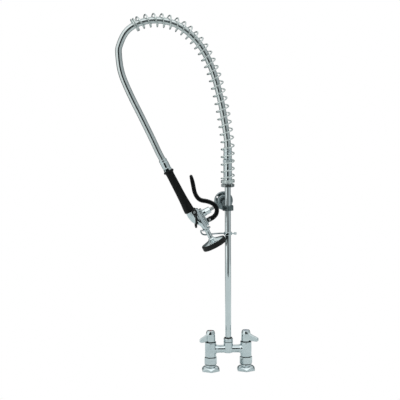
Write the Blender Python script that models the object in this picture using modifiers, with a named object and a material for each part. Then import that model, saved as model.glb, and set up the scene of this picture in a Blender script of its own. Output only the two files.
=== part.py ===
"""Deck mounted pre-rinse faucet: two lever valves on 4 inch centres, a tall riser tied to the
wall, a hose inside an overhead spring and a squeeze spray valve that hangs on a finger hook.

Metres, +Z up. The origin is on the deck plane, midway between the two inlets, on the axis of
the riser. The user stands on the -Y side and the wall is on the +Y side.
"""

import math

import bmesh
import bpy
from mathutils import Matrix, Vector

MM = 0.001
GAP = 0.3  # clearance left between neighbouring pieces, in millimetres

# Base, millimetres
INLET_CENTRES = 101.6
FLANGE_AF = 49.4
SHANK_BORE_R = 8.2
FLANGE_TOP = 17.8
NUT_AF, NUT_Z0, NUT_Z1 = 32.0, 18.4, 40.3
BARREL_R, BARREL_Z0, BARREL_Z1 = 16.1, 40.6, 84.6
BRIDGE_R, BRIDGE_Z = 11.2, 63.3
BOSS_R, BOSS_Z0, BOSS_Z1 = 13.5, 51.6, 94.6
HUB_R, HUB_TOP_R, HUB_Z0, HUB_Z1 = 14.6, 10.7, 85.0, 117.6
LEVER_REACH, LEVER_HALF = 45.0, 3.6
LEVER_ANGLE = 45.0  # degrees in front of straight outward

# Riser and what it carries
RISER_R, RISER_BORE_R = 8.55, 6.6
RISER_Z0, RISER_Z1 = 72.0, 545.0
SEAT_AF, SEAT_Z0, SEAT_Z1 = 33.4, 531.0, 539.7
BODY_R, BODY_Z1 = 11.8, 599.2
COUPLING_R, COUPLING_Z1 = 12.2, 608.8
FERRULE_R, FERRULE_Z1 = 11.8, 642.4
BRACKET_Z, BRACKET_H, BRACKET_AF = 471.3, 14.4, 31.0
ROD_R, WALL_Y, WALL_FLANGE_R = 8.5, 152.0, 27.8
ROD_Z = BRACKET_Z + 1.0
COLLAR_Z, COLLAR_H, COLLAR_R = 397.8, 8.6, 11.4

# Spring and hose
HOSE_R, HOSE_WALL = 9.25, 1.4
SPRING_MEAN_R, SPRING_WIRE_R, SPRING_PITCH = 17.8, 2.0, 21.0
BEND_LENGTH = 57.0
HOSE_PIVOT = Vector((-301.9, -31.0, 905.0))
# Route of the hose from the riser over the top and down to the hand valve
HOSE_ROUTE = [
    (0, 0, 541), (0, 0, 600), (0, 0, 630), (0, 0, 646), (-1.0, -0.2, 664), (-5.0, -1, 694), (-11.5, -2, 735), (-21, -4, 784),
    (-41, -8, 857), (-75, -12, 927), (-126, -18, 977), (-183, -23, 997), (-238, -27, 992.5),
    (-278.5, -29, 969), (-299, -30, 930), (-301.9, -31, 905), (-295, -32, 854.5), (-273, -33, 798.5),
    (-244.5, -34, 739.5), (-216, -34, 680),
]

# Hand valve. Its own frame has X across towards the trigger, Y to the user and Z down its length
VALVE_AT = Vector((-109.5, -34.0, 466.3))
VALVE_TILT = math.radians(27)
GRIP_TOP, GRIP_NUT_TOP, HAND_FERRULE_TOP = -131.0, -138.0, -165.5
GRIP_R = 11.4
PLUNGER_S, PLUNGER_T = 20.5, 64.2
TRIGGER_PIVOT = (39.5, 44.4)  # across, along
NECK_T = 18.8
BODY_ROUND = (7.6, 19.4, 14.6)  # centre across, half width across and half depth of the rounded casting
BUMPER_R = 35.6
RING_PIN = (11.0, 4.0)
RING_DROP, RING_HALF, RING_WIRE_R, RING_OFFSET = 43.5, 18.6, 2.9, 5.2


# ------------------------------------------------------------------ helpers
for old in list(bpy.data.objects):
    bpy.data.objects.remove(old, do_unlink=True)

scene = bpy.context.scene
scene.unit_settings.system = "METRIC"
scene.unit_settings.scale_length = 1.0
parts = bpy.data.collections.new("pre_rinse_faucet")
cutters = bpy.data.collections.new("cutters")
scene.collection.children.link(parts)
scene.collection.children.link(cutters)


def material(name, colour, roughness, metallic):
    made = bpy.data.materials.new(name)
    made.use_nodes = True
    made.diffuse_color = (*colour, 1.0)
    shader = made.node_tree.nodes["Principled BSDF"]
    shader.inputs["Base Color"].default_value = (*colour, 1.0)
    shader.inputs["Roughness"].default_value = roughness
    shader.inputs["Metallic"].default_value = metallic
    return made


FINISH = {
    "chrome": ((0.62, 0.68, 0.68), 0.12, 1.0),
    "steel": ((0.50, 0.53, 0.53), 0.28, 1.0),
    "dark_steel": ((0.16, 0.19, 0.19), 0.35, 1.0),
    "brass": ((0.60, 0.44, 0.16), 0.30, 1.0),
    "rubber": ((0.012, 0.012, 0.012), 0.60, 0.0),
    "coating": ((0.015, 0.015, 0.016), 0.42, 0.0),
    "plastic": ((0.02, 0.02, 0.022), 0.35, 0.0),
    "red": ((0.45, 0.02, 0.02), 0.30, 0.0),
    "blue": ((0.02, 0.06, 0.40), 0.30, 0.0),
}


def finish(obj, look):
    colour, roughness, metallic = FINISH[look]
    obj.data.materials.clear()
    obj.data.materials.append(material(obj.name + "_finish", colour, roughness, metallic))
    return obj


def link(name, data, matrix=None, cutter=False):
    obj = bpy.data.objects.new(name, data)
    (cutters if cutter else parts).objects.link(obj)
    obj.matrix_world = matrix if matrix is not None else Matrix.Identity(4)
    if cutter:
        obj.hide_render = True
        obj.display_type = "WIRE"
    return obj


def at(x, y, z, rotation=None):
    """A placement at a point in millimetres."""
    place = Matrix.Translation(Vector((x, y, z)) * MM)
    return place @ rotation.to_4x4() if rotation is not None else place


def turned(name, profile, sides=16, matrix=None, cutter=False, phase=0.0):
    """A turned solid about local Z. The profile is (radius, z) in millimetres, outer side first, top to bottom."""
    mesh = bpy.data.meshes.new(name)
    points = [(r * MM, 0.0, z * MM) for r, z in profile]
    on_axis = profile[0][0] == 0 and profile[-1][0] == 0
    count = len(points)
    edges = [(i, i + 1) for i in range(count - 1)]
    if not on_axis:
        edges.append((count - 1, 0))
    mesh.from_pydata(points, edges, [])
    obj = link(name, mesh, matrix, cutter)
    if phase:
        obj.matrix_world = obj.matrix_world @ Matrix.Rotation(math.radians(phase), 4, "Z")
    screw = obj.modifiers.new("turn", "SCREW")
    screw.axis = "Z"
    screw.steps = screw.render_steps = sides
    screw.use_merge_vertices = True
    screw.merge_threshold = 1e-6
    screw.use_smooth_shade = True
    return obj


def ring_profile(outer, inner, top, bottom):
    return [(outer, top), (outer, bottom), (inner, bottom), (inner, top)]


def rod_profile(radius, top, bottom, chamfer=0.0):
    if chamfer:
        return [
            (0, top), (radius - chamfer, top), (radius, top - chamfer),
            (radius, bottom + chamfer), (radius - chamfer, bottom), (0, bottom),
        ]
    return [(0, top), (radius, top), (radius, bottom), (0, bottom)]


def prism(name, radius, z0, z1, sides=6, matrix=None, cutter=False, phase=0.0):
    """A plain prism or rod about local Z, from bmesh's cone."""
    mesh = bpy.data.meshes.new(name)
    shape = bmesh.new()
    bmesh.ops.create_cone(
        shape, cap_ends=True, cap_tris=False, segments=sides,
        radius1=radius * MM, radius2=radius * MM, depth=(z1 - z0) * MM,
    )
    bmesh.ops.rotate(shape, verts=shape.verts, cent=(0, 0, 0), matrix=Matrix.Rotation(math.radians(phase), 3, "Z"))
    bmesh.ops.translate(shape, verts=shape.verts, vec=(0, 0, (z0 + z1) / 2 * MM))
    shape.to_mesh(mesh)
    shape.free()
    return link(name, mesh, matrix, cutter)


def block(name, low, high, matrix=None, cutter=False):
    mesh = bpy.data.meshes.new(name)
    shape = bmesh.new()
    bmesh.ops.create_cube(shape, size=1.0)
    size = [(b - a) * MM for a, b in zip(low, high)]
    bmesh.ops.scale(shape, verts=shape.verts, vec=size)
    bmesh.ops.translate(shape, verts=shape.verts, vec=[(a + b) / 2 * MM for a, b in zip(low, high)])
    shape.to_mesh(mesh)
    shape.free()
    return link(name, mesh, matrix, cutter)


def boolean(obj, other, operation="DIFFERENCE"):
    step = obj.modifiers.new(operation.lower(), "BOOLEAN")
    step.operation = operation
    step.object = other
    step.solver = "EXACT"
    return obj


def hex_radius(across_flats):
    return across_flats / math.sqrt(3)


def hex_nut(name, across_flats, z0, z1, bore, matrix=None, phase=0.0, chamfer=1.2, sides=16):
    """A hexagon with chamfered corners and a plain bore."""
    nut = prism(name, hex_radius(across_flats), z0, z1, 6, matrix, phase=phase)
    corner, flat = hex_radius(across_flats) + 0.3, across_flats / 2
    cone = turned(
        name + "_chamfer",
        [(0, z1 + 0.4), (flat - 0.2, z1 + 0.4), (corner, z1 - chamfer), (corner, z0 + chamfer), (flat - 0.2, z0 - 0.4), (0, z0 - 0.4)],
        sides, matrix, cutter=True,
    )
    boolean(nut, cone, "INTERSECT")
    if bore:
        boolean(nut, turned(name + "_bore", rod_profile(bore, z1 + 2, z0 - 2), sides, matrix, cutter=True))
    return nut


def outline(name, points, half_width, rounding, matrix=None, cutter=False):
    """A flat outline in local XZ, given half its width along local Y, with rounded edges, as a welded mesh."""
    curve = bpy.data.curves.new(name, "CURVE")
    curve.dimensions = "2D"
    curve.fill_mode = "BOTH"
    curve.extrude = (half_width - rounding) * MM
    curve.bevel_depth = rounding * MM
    curve.bevel_resolution = 0
    curve.offset = -rounding * MM
    spline = curve.splines.new("POLY")
    spline.points.add(len(points) - 1)
    for point, (x, z) in zip(spline.points, points):
        point.co = (x * MM, z * MM, 0, 1)
    spline.use_cyclic_u = True
    place = (matrix if matrix is not None else Matrix.Identity(4)) @ Matrix.Rotation(math.radians(90), 4, "X")
    return meshed(link(name, curve, place, cutter), cutter)


def meshed(obj, cutter=False):
    """The curve's evaluated mesh, welded, in place of the curve."""
    name, place = obj.name, obj.matrix_world.copy()
    bpy.context.view_layer.update()
    graph = bpy.context.evaluated_depsgraph_get()
    mesh = bpy.data.meshes.new_from_object(obj.evaluated_get(graph))
    curve = obj.data
    bpy.data.objects.remove(obj, do_unlink=True)
    bpy.data.curves.remove(curve)
    shape = bmesh.new()
    shape.from_mesh(mesh)
    bmesh.ops.remove_doubles(shape, verts=shape.verts, dist=1e-6)
    bmesh.ops.recalc_face_normals(shape, faces=shape.faces)
    shape.to_mesh(mesh)
    shape.free()
    return link(name, mesh, place, cutter)


def wire(name, points, radius, sides_level=2, matrix=None, cutter=False, closed=False):
    """A round wire or hose along points in millimetres."""
    curve = bpy.data.curves.new(name, "CURVE")
    curve.dimensions = "3D"
    curve.bevel_depth = radius * MM
    curve.bevel_resolution = sides_level
    curve.use_fill_caps = not closed
    curve.twist_mode = "MINIMUM"
    spline = curve.splines.new("POLY")
    spline.points.add(len(points) - 1)
    for point, co in zip(spline.points, points):
        point.co = (co[0] * MM, co[1] * MM, co[2] * MM, 1)
    spline.use_cyclic_u = closed
    return link(name, curve, matrix, cutter)


def smooth_path(points, count):
    """Points evenly spaced along a Catmull-Rom curve through the given ones."""
    points = [Vector(p) for p in points]
    ends = [2 * points[0] - points[1]] + points + [2 * points[-1] - points[-2]]
    dense = []
    for i in range(1, len(ends) - 2):
        a, b, c, d = ends[i - 1], ends[i], ends[i + 1], ends[i + 2]
        for k in range(40):
            u = k / 40
            dense.append(
                0.5 * ((2 * b) + (c - a) * u + (2 * a - 5 * b + 4 * c - d) * u * u + (3 * b - a - 3 * c + d) * u ** 3)
            )
    dense.append(points[-1])
    # A few passes of averaging take out what is left of the corners at the route's points.
    for _ in range(60):
        dense = [dense[0]] + [(dense[i - 1] + 2 * dense[i] + dense[i + 1]) / 4 for i in range(1, len(dense) - 1)] + [dense[-1]]
    return resample(dense, count)


def lengths(points):
    total = [0.0]
    for a, b in zip(points, points[1:]):
        total.append(total[-1] + (b - a).length)
    return total


def point_at(points, total, distance):
    distance = min(max(distance, 0.0), total[-1])
    low, high = 0, len(total) - 1
    while high - low > 1:
        mid = (low + high) // 2
        if total[mid] <= distance:
            low = mid
        else:
            high = mid
    span = total[high] - total[low]
    return points[low].lerp(points[high], (distance - total[low]) / span if span else 0.0)


def resample(points, count):
    total = lengths(points)
    return [point_at(points, total, total[-1] * i / (count - 1)) for i in range(count)]


def stretch(points, total, start, end, count):
    """Points along a stretch of the route, with a short first and last step so that the end faces are square to it."""
    at_run = [start + (end - start) * i / (count - 1) for i in range(count)]
    at_run = at_run[:1] + [start + 1.5] + at_run[1:-1] + [end - 1.5] + at_run[-1:]
    return [point_at(points, total, distance) for distance in at_run]


ALONG_Y = Matrix.Rotation(math.radians(-90), 3, "X")  # local Z to +Y
ALONG_X = Matrix.Rotation(math.radians(90), 3, "Y")  # local Z to +X
VALVE_FRAME = Matrix.Translation(VALVE_AT * MM) @ Matrix((
    (math.cos(VALVE_TILT), 0, math.sin(VALVE_TILT), 0),
    (0, -1, 0, 0),
    (math.sin(VALVE_TILT), 0, -math.cos(VALVE_TILT), 0),
    (0, 0, 0, 1),
))


def in_valve(x=0.0, y=0.0, z=0.0, rotation=None):
    return VALVE_FRAME @ at(x, y, z, rotation)


# ------------------------------------------------------------------ base
HALF = INLET_CENTRES / 2

base = turned("base_body", rod_profile(BARREL_R, BARREL_Z1, BARREL_Z0, 0.8), 16, at(-HALF, 0, 0))
barrel_2 = turned("right_barrel", rod_profile(BARREL_R, BARREL_Z1, BARREL_Z0, 0.8), 16, at(HALF, 0, 0), cutter=True)
bridge = turned(
    "bridge",
    [(0, HALF), (13.3, HALF), (13.3, 36.6), (12.2, 33.6), (BRIDGE_R, 29), (BRIDGE_R, -29), (12.2, -33.6), (13.3, -36.6), (13.3, -HALF), (0, -HALF)],
    14, at(0, 0, BRIDGE_Z, ALONG_X), cutter=True,
)
boss = turned(
    "centre_boss",
    [(0, BOSS_Z1), (11.6, BOSS_Z1), (BOSS_R, BOSS_Z1 - 1.6), (BOSS_R, BOSS_Z0 + 4), (11.0, BOSS_Z0 + 0.6), (0, BOSS_Z0)],
    16, cutter=True,
)
tail_1 = turned("left_tail", rod_profile(12.0, BARREL_Z0 + 4, 31.0), 16, at(-HALF, 0, 0), cutter=True)
tail_2 = turned("right_tail", rod_profile(12.0, BARREL_Z0 + 4, 31.0), 16, at(HALF, 0, 0), cutter=True)
for extra in (bridge, boss, barrel_2, tail_1, tail_2):
    boolean(base, extra, "UNION")
for side, x in (("left", -HALF), ("right", HALF)):
    bores = turned(
        side + "_bores",
        [(0, 90), (9.8, 90), (9.8, 56), (7.0, 54), (7.0, 25), (0, 25)],
        14, at(x, 0, 0), cutter=True,
    )
    boolean(base, bores)
boolean(base, turned("cross_bore", rod_profile(5.2, HALF - 2.0, -HALF + 2.0), 12, at(0, 0, BRIDGE_Z, ALONG_X), cutter=True))
boolean(
    base,
    turned("riser_bore", [(0, 100), (9.0, 100), (9.0, 71.0), (5.6, 71.0), (5.6, 61.1), (0, 61.1)], 16, cutter=True),
)
finish(base, "chrome")

for side, x in (("left", -HALF), ("right", HALF)):
    place = at(x, 0, 0)
    flange = turned(
        side + "_inlet_flange",
        [
            (SHANK_BORE_R, 27.0), (11.6, 27.0), (11.6, FLANGE_TOP), (14.8, FLANGE_TOP), (15.6, FLANGE_TOP - 0.9), (15.6, 13.6), (19.0, 12.9), (21.5, 11.8), (23.4, 10.2),
            (25.2, 7.8), (26.8, 5.6), (28.5, 3.2), (28.5, 0.0), (SHANK_BORE_R, 0.0),
        ],
        24, place,
    )
    hexagon = prism(side + "_flange_hex", hex_radius(FLANGE_AF), -2.0, 30.0, 6, place, cutter=True, phase=0)
    boolean(flange, hexagon, "INTERSECT")
    finish(flange, "chrome")
    nut = hex_nut(side + "_coupling_nut", NUT_AF, NUT_Z0, NUT_Z1, 12.4, place, phase=11 if side == "left" else 32.4)
    finish(nut, "chrome")
    finish(turned(side + "_seat_washer", ring_profile(11.6, 7.4, 30.6, 27.4), 14, place), "rubber")
    cartridge = turned(
        side + "_cartridge",
        [(4.6, BARREL_Z1 - 1.0), (9.4, BARREL_Z1 - 1.0), (9.4, 72.0), (8.0, 71.0), (8.0, 60.5), (9.4, 59.5), (9.4, 56.6), (4.6, 56.6)],
        14, place,
    )
    finish(cartridge, "brass")
    stem = turned(
        side + "_stem",
        [(0, 105.0), (3.6, 105.0), (3.6, 86.0), (4.2, 85.4), (4.2, 62.0), (3.4, 61.0), (3.4, 57.0), (0, 57.0)],
        12, place,
    )
    finish(stem, "brass")
    turn = Matrix.Rotation(math.radians(180 + LEVER_ANGLE if side == "left" else -LEVER_ANGLE), 3, "Z")
    handle = turned(
        side + "_lever_handle",
        [
            (0, HUB_Z1), (8.6, HUB_Z1), (HUB_TOP_R, HUB_Z1 - 1.8), (12.2, HUB_Z1 - 8), (13.5, HUB_Z0 + 15), (HUB_R, HUB_Z0 + 4),
            (HUB_R, HUB_Z0), (0, HUB_Z0),
        ],
        16, at(x, 0, 0, turn),
    )
    blade = outline(
        side + "_blade",
        [(6.0, 88.4), (40.0, 89.0), (44.0, 90.8), (LEVER_REACH, 94.0), (LEVER_REACH - 0.4, 98.6), (41.6, 101.4), (26.0, 104.6), (12.0, 109.6), (6.0, 110.6)],
        LEVER_HALF, 1.4, at(x, 0, 0, turn), cutter=True,
    )
    boolean(handle, blade, "UNION")
    boolean(handle, turned(side + "_stem_bore", [(0, 106.0), (3.9, 106.0), (3.9, 92.0), (10.6, 92.0), (10.6, 80), (0, 80)], 14, place, cutter=True))
    boolean(handle, turned(side + "_top_well", [(0, 120), (6.0, 120), (6.0, 112.6), (2.6, 112.6), (2.6, 100.0), (0, 100.0)], 12, place, cutter=True))
    boolean(stem, turned(side + "_screw_hole", rod_profile(2.4, 110, 98.0), 12, place, cutter=True))
    finish(handle, "chrome")
    screw = turned(side + "_handle_screw", [(0, 114.4), (3.6, 114.4), (3.6, 112.9), (2.1, 112.9), (2.1, 98.4), (0, 98.4)], 12, place)
    finish(screw, "steel")
    button = turned(side + "_index_button", [(0, 116.2), (5.0, 116.1), (5.6, 115.9), (5.6, 114.8), (0, 114.8)], 14, place)
    finish(button, "red" if side == "left" else "blue")

packing = turned("riser_packing", ring_profile(11.6, RISER_R + GAP, 97.4, BOSS_Z1 + GAP), 16)
finish(packing, "rubber")

# ------------------------------------------------------------------ riser
riser = turned("riser_tube", ring_profile(RISER_R, RISER_BORE_R, RISER_Z1, RISER_Z0), 16)
finish(riser, "chrome")
seat = hex_nut("spring_seat_nut", SEAT_AF, SEAT_Z0, SEAT_Z1, RISER_R + GAP, phase=0, chamfer=1.0)
finish(seat, "steel")
spring_body = turned(
    "spring_body",
    [
        (BODY_R, BODY_Z1), (BODY_R, SEAT_Z1 + GAP), (RISER_R + GAP, SEAT_Z1 + GAP), (RISER_R + GAP, 546.0), (7.0, 546.0), (7.0, 590.0),
        (9.6, 590.0), (9.6, BODY_Z1),
    ],
    16,
)
finish(spring_body, "chrome")
finish(turned("hose_washer", ring_profile(9.2, 5.0, 592.8, 590.4), 20), "rubber")
coupling = hex_nut("hose_coupling_nut", 2 * COUPLING_R, BODY_Z1 + GAP, COUPLING_Z1, 7.2, phase=8, chamfer=0.9)
finish(coupling, "chrome")
ferrule = turned(
    "upper_ferrule",
    [
        (FERRULE_R - 0.8, FERRULE_Z1), (FERRULE_R, FERRULE_Z1 - 0.8), (FERRULE_R, COUPLING_Z1 + GAP), (6.8, COUPLING_Z1 + GAP),
        (6.8, 592.0 + 1.2), (5.0, 592.0 + 1.2), (5.0, 618.0), (HOSE_R + GAP, 618.0), (HOSE_R + GAP, FERRULE_Z1),
    ],
    16,
)
finish(ferrule, "chrome")

# ------------------------------------------------------------------ hose and overhead spring
valve_down = Vector((math.sin(VALVE_TILT), 0, -math.cos(VALVE_TILT)))
ferrule_top = VALVE_AT + valve_down * HAND_FERRULE_TOP
route = HOSE_ROUTE + [tuple(ferrule_top - valve_down * 24), tuple(ferrule_top - valve_down * 8), tuple(ferrule_top + valve_down * 9)]
path = smooth_path(route, 600)
run = lengths(path)
pivot_at = min(range(len(path)), key=lambda i: (path[i] - HOSE_PIVOT).length)
pivot_run = run[pivot_at]
first = next(run[i] for i in range(len(path)) if path[i].z > 620.0)


def hose(name, start, end, count):
    """A stretch of hose: an open tube along the route, thickened inwards to a wall."""
    guide = wire(name, stretch(path, run, start, end, count), HOSE_R, 2)
    guide.data.use_fill_caps = False
    piece = meshed(guide)
    wall = piece.modifiers.new("wall", "SOLIDIFY")
    wall.thickness = HOSE_WALL * MM
    wall.offset = -1.0
    wall.use_rim = True
    return finish(piece, "steel")


hose("hose_upper", first, pivot_run - BEND_LENGTH / 2 - 2 * GAP, 22)
hose("hose_bend", pivot_run - BEND_LENGTH / 2, pivot_run + BEND_LENGTH / 2, 5)
hose("hose_lower", pivot_run + BEND_LENGTH / 2 + 2 * GAP, run[-1], 13)


# how far the stretched coil's turns stand off an even pitch, against the distance from its foot
EASE = [(0, 0.0), (40, -5.0), (108, -4.5), (150, -3.0), (209, -1.0), (253, 1.5), (297, 3.7), (339, 4.0), (402, 3.0), (455, 0.0), (501, -3.0), (542, -5.0), (585, -6.0), (640, -6.0)]


def ease(distance):
    for (d0, v0), (d1, v1) in zip(EASE, EASE[1:]):
        if distance < d1:
            return v0 + (v1 - v0) * max(0.0, distance - d0) / (d1 - d0)
    return EASE[-1][1]


def spring_points():
    """The helix: two close coils at each end, and an even pitch along the route between them."""
    start = next(run[i] for i in range(len(path)) if path[i].z > SEAT_Z1 + GAP + SPRING_WIRE_R + 0.6)
    stop = next(run[i] for i in range(len(path)) if path[i].x < -264.0)
    close = 2 * SPRING_WIRE_R + 0.9
    turns = round((stop - start - 4 * close) / SPRING_PITCH)
    pitch = (stop - start - 4 * close) / turns
    # Frames carried along the route without twist
    tangent = [(path[min(i + 1, len(path) - 1)] - path[max(i - 1, 0)]).normalized() for i in range(len(path))]
    across = [Vector((0, -1, 0))]
    for i in range(1, len(path)):
        turn = tangent[i - 1].rotation_difference(tangent[i])
        across.append((turn @ across[-1]).normalized())
    made, per_turn = [], 9
    total_turns = turns + 4
    for k in range(int(total_turns * per_turn) + 1):
        u = k / per_turn
        if u <= 2:
            distance = start + u * close
        elif u <= 2 + turns:
            distance = start + 2 * close + (u - 2) * pitch
        else:
            distance = start + 2 * close + turns * pitch + (u - 2 - turns) * close
        distance += ease(distance - start)
        i = min(range(len(run)), key=lambda n: abs(run[n] - distance))
        centre = point_at(path, run, distance)
        side = across[i] - tangent[i] * across[i].dot(tangent[i])
        side.normalize()
        other = tangent[i].cross(side)
        angle = math.radians(200) + 2 * math.pi * u
        made.append(centre + (side * math.cos(angle) + other * math.sin(angle)) * SPRING_MEAN_R)
    return made


finish(meshed(wire("overhead_spring", spring_points(), SPRING_WIRE_R, 0)), "steel")

# ------------------------------------------------------------------ wall bracket
WALL = at(0, 0, ROD_Z, ALONG_Y)
wall_flange = turned(
    "wall_flange",
    [
        (ROD_R + GAP, 133.0), (ROD_R + GAP, WALL_Y), (WALL_FLANGE_R - 0.8, WALL_Y), (WALL_FLANGE_R, WALL_Y - 1.0), (WALL_FLANGE_R, WALL_Y - 3.0),
        (WALL_FLANGE_R - 2.4, WALL_Y - 5.0), (18.0, WALL_Y - 6.6), (14.4, WALL_Y - 8.0), (13.8, WALL_Y - 18.0), (13.0, 133.0),
    ][::-1],
    18, WALL,
)
for k in range(3):
    angle = math.radians(90 + 120 * k)
    boolean(
        wall_flange,
        prism(f"flange_hole_{k + 1}", 2.6, WALL_Y - 10, WALL_Y + 3, 6, WALL @ at(21.5 * math.cos(angle), 21.5 * math.sin(angle), 0), cutter=True),
    )
finish(wall_flange, "chrome")
finish(turned("bracket_rod", ring_profile(ROD_R, 6.4, WALL_Y - 2.0, 18.3), 16, WALL), "chrome")
clamp = prism("bracket_clamp", hex_radius(BRACKET_AF), BRACKET_Z - BRACKET_H / 2, BRACKET_Z + BRACKET_H / 2, 6, phase=0)
boolean(clamp, block("clamp_back", (-9.4, 4, BRACKET_Z - BRACKET_H / 2), (9.4, 18.0, BRACKET_Z + BRACKET_H / 2), cutter=True), "UNION")
boolean(clamp, turned("clamp_bore", rod_profile(RISER_R + GAP, BRACKET_Z + 20, BRACKET_Z - 20), 16, cutter=True))
boolean(clamp, turned("clamp_screw_hole", rod_profile(2.7, 30, 0), 12, at(0, 0, BRACKET_Z, ALONG_X), cutter=True))
finish(clamp, "dark_steel")
finish(
    turned("clamp_screw", [(0, 15.0), (2.3, 15.0), (2.3, RISER_R + GAP + 0.1), (0, RISER_R + GAP + 0.1)], 12, at(0, 0, BRACKET_Z, ALONG_X)),
    "dark_steel",
)

# ------------------------------------------------------------------ finger hook
collar = turned(
    "hook_collar",
    [
        (COLLAR_R - 0.9, COLLAR_Z + COLLAR_H / 2), (COLLAR_R, COLLAR_Z + COLLAR_H / 2 - 0.9), (COLLAR_R, COLLAR_Z - COLLAR_H / 2 + 0.9),
        (COLLAR_R - 0.9, COLLAR_Z - COLLAR_H / 2), (RISER_R + GAP, COLLAR_Z - COLLAR_H / 2), (RISER_R + GAP, COLLAR_Z + COLLAR_H / 2),
    ],
    16,
)
boolean(collar, turned("collar_screw_hole", rod_profile(2.2, 20, 0), 12, at(0, 0, COLLAR_Z, ALONG_X), cutter=True))
finish(collar, "chrome")
thumb = turned(
    "thumb_screw",
    [(0, 24.6), (3.4, 24.6), (3.8, 24.0), (3.8, 18.6), (3.4, 18.0), (2.4, 17.6), (1.85, 15.0), (1.85, RISER_R + GAP + 0.1), (0, RISER_R + GAP + 0.1)],
    14, at(0, 0, COLLAR_Z, ALONG_X),
)
finish(thumb, "chrome")
hook_points = smooth_path(
    [
        (-10.4, -6.0, 398.6), (-16.5, -11.5, 400.4), (-30.0, -20.0, 401.6), (-44.0, -24.2, 401.4), (-58.0, -24.8, 400.0), (-67.5, -27.0, 399.6),
        (-74.8, -30.0, 402.4), (-78.6, -33.2, 408.6), (-78.3, -35.8, 413.4), (-77.3, -36.8, 415.2),
    ],
    22,
)
hook = meshed(wire("hook_wire", hook_points, 2.1, 2))
boolean(hook, turned("hook_root_cut", rod_profile(COLLAR_R + GAP, COLLAR_Z + 10, COLLAR_Z - 10), 16, cutter=True))
finish(hook, "chrome")

# ------------------------------------------------------------------ hand valve: hose end and grip
hand_ferrule = turned(
    "lower_ferrule",
    [
        (7.0, GRIP_NUT_TOP - GAP), (11.4, GRIP_NUT_TOP - GAP), (11.4, HAND_FERRULE_TOP + 0.8), (10.6, HAND_FERRULE_TOP),
        (HOSE_R + 0.5, HAND_FERRULE_TOP), (HOSE_R + 0.5, HAND_FERRULE_TOP + 11), (7.0, HAND_FERRULE_TOP + 11),
    ],
    16, VALVE_FRAME,
)
finish(hand_ferrule, "chrome")
finish(hex_nut("grip_nut", 21.0, GRIP_NUT_TOP, GRIP_TOP - GAP, 8.1, VALVE_FRAME, phase=10, chamfer=0.8), "chrome")
grip_tube = turned("grip_tube", ring_profile(7.7, 5.6, 11.4, GRIP_NUT_TOP + 0.6), 14, VALVE_FRAME)
finish(grip_tube, "brass")
grip = turned(
    "grip",
    [
        (8.0, -GAP), (13.2, -GAP), (14.5, -1.6), (14.4, -12.0), (13.4, -24.0), (12.3, -38.0), (11.7, -62.0), (11.0, -118.0), (11.6, -124.0),
        (14.6, -125.6), (14.7, -129.0), (13.4, GRIP_TOP), (8.0, GRIP_TOP),
    ],
    16, VALVE_FRAME,
)
finish(grip, "rubber")

# ------------------------------------------------------------------ hand valve: body, bonnet, plunger
valve_body = outline(
    "valve_body",
    [
        (-8.6, 0.3), (-9.9, 6.0), (-10.6, 14.0), (-10.0, 23.0), (-6.4, 32.0), (0.0, 40.0), (7.0, 46.4), (9.2, 52.0), (9.4, 60.6), (11.0, 62.0),
        (23.6, 62.0), (24.7, 60.8), (24.7, 4.4), (21.0, 0.3),
    ],
    14.6, 4.4, VALVE_FRAME,
)
boolean(valve_body, turned("body_round", rod_profile(BODY_ROUND[2], 70.0, -6.0), 28, in_valve(BODY_ROUND[0], 0, 0) @ Matrix.Diagonal((BODY_ROUND[1] / BODY_ROUND[2], 1, 1, 1)), cutter=True), "INTERSECT")
boolean(valve_body, outline("body_face", [(17.0, 4.6), (17.0, 58.0), (22.6, 61.8), (24.7, 60.8), (24.7, 4.6)], 14.4, 1.4, VALVE_FRAME, cutter=True), "UNION")
boolean(valve_body, turned("body_socket", rod_profile(8.0, 12.0, -4.0), 16, VALVE_FRAME, cutter=True))
boolean(valve_body, turned("body_inlet", rod_profile(5.4, 22.0, 8.0), 12, VALVE_FRAME, cutter=True))
boolean(valve_body, turned("body_chamber", rod_profile(9.4, 30.0, 2.0), 16, in_valve(0, 0, PLUNGER_S, ALONG_X), cutter=True))
boolean(valve_body, turned("body_outlet", rod_profile(4.4, 70.0, 18.0), 14, in_valve(NECK_T, 0, 0), cutter=True))
boolean(valve_body, turned("ring_pin_hole", rod_profile(2.5, 30.0, -30.0), 12, in_valve(RING_PIN[0], 0, RING_PIN[1], ALONG_Y), cutter=True))
valve_body.name = "valve_body"
finish(valve_body, "chrome")

plate = outline(
    "bonnet_plate",
    [(25.0, 8.0), (25.0, 55.0), (27.0, 57.0), (30.0, 57.0), (31.8, 55.4), (31.8, 51.4), (38.0, 50.0), (43.2, 48.8), (45.4, 45.6), (44.4, 41.4), (40.0, 38.2), (31.8, 36.6), (31.8, 7.6), (30.0, 6.0), (27.0, 6.0)],
    14.2, 1.6, VALVE_FRAME,
)
for sign in (-1, 1):
    low, high = sorted((sign * 3.6, sign * 30.0))
    boolean(plate, block(f"lug_side_{'front' if sign > 0 else 'back'}", (32.0, low, 33.0), (60.0, high, 60.0), VALVE_FRAME, cutter=True))
boolean(plate, turned("plate_bore", rod_profile(7.6, 40.0, 20.0), 16, in_valve(0, 0, PLUNGER_S, ALONG_X), cutter=True))
boolean(plate, turned("lug_pin_hole", rod_profile(2.3, 20.0, -20.0), 12, in_valve(TRIGGER_PIVOT[0], 0, TRIGGER_PIVOT[1], ALONG_Y), cutter=True))
finish(plate, "chrome")

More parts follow.
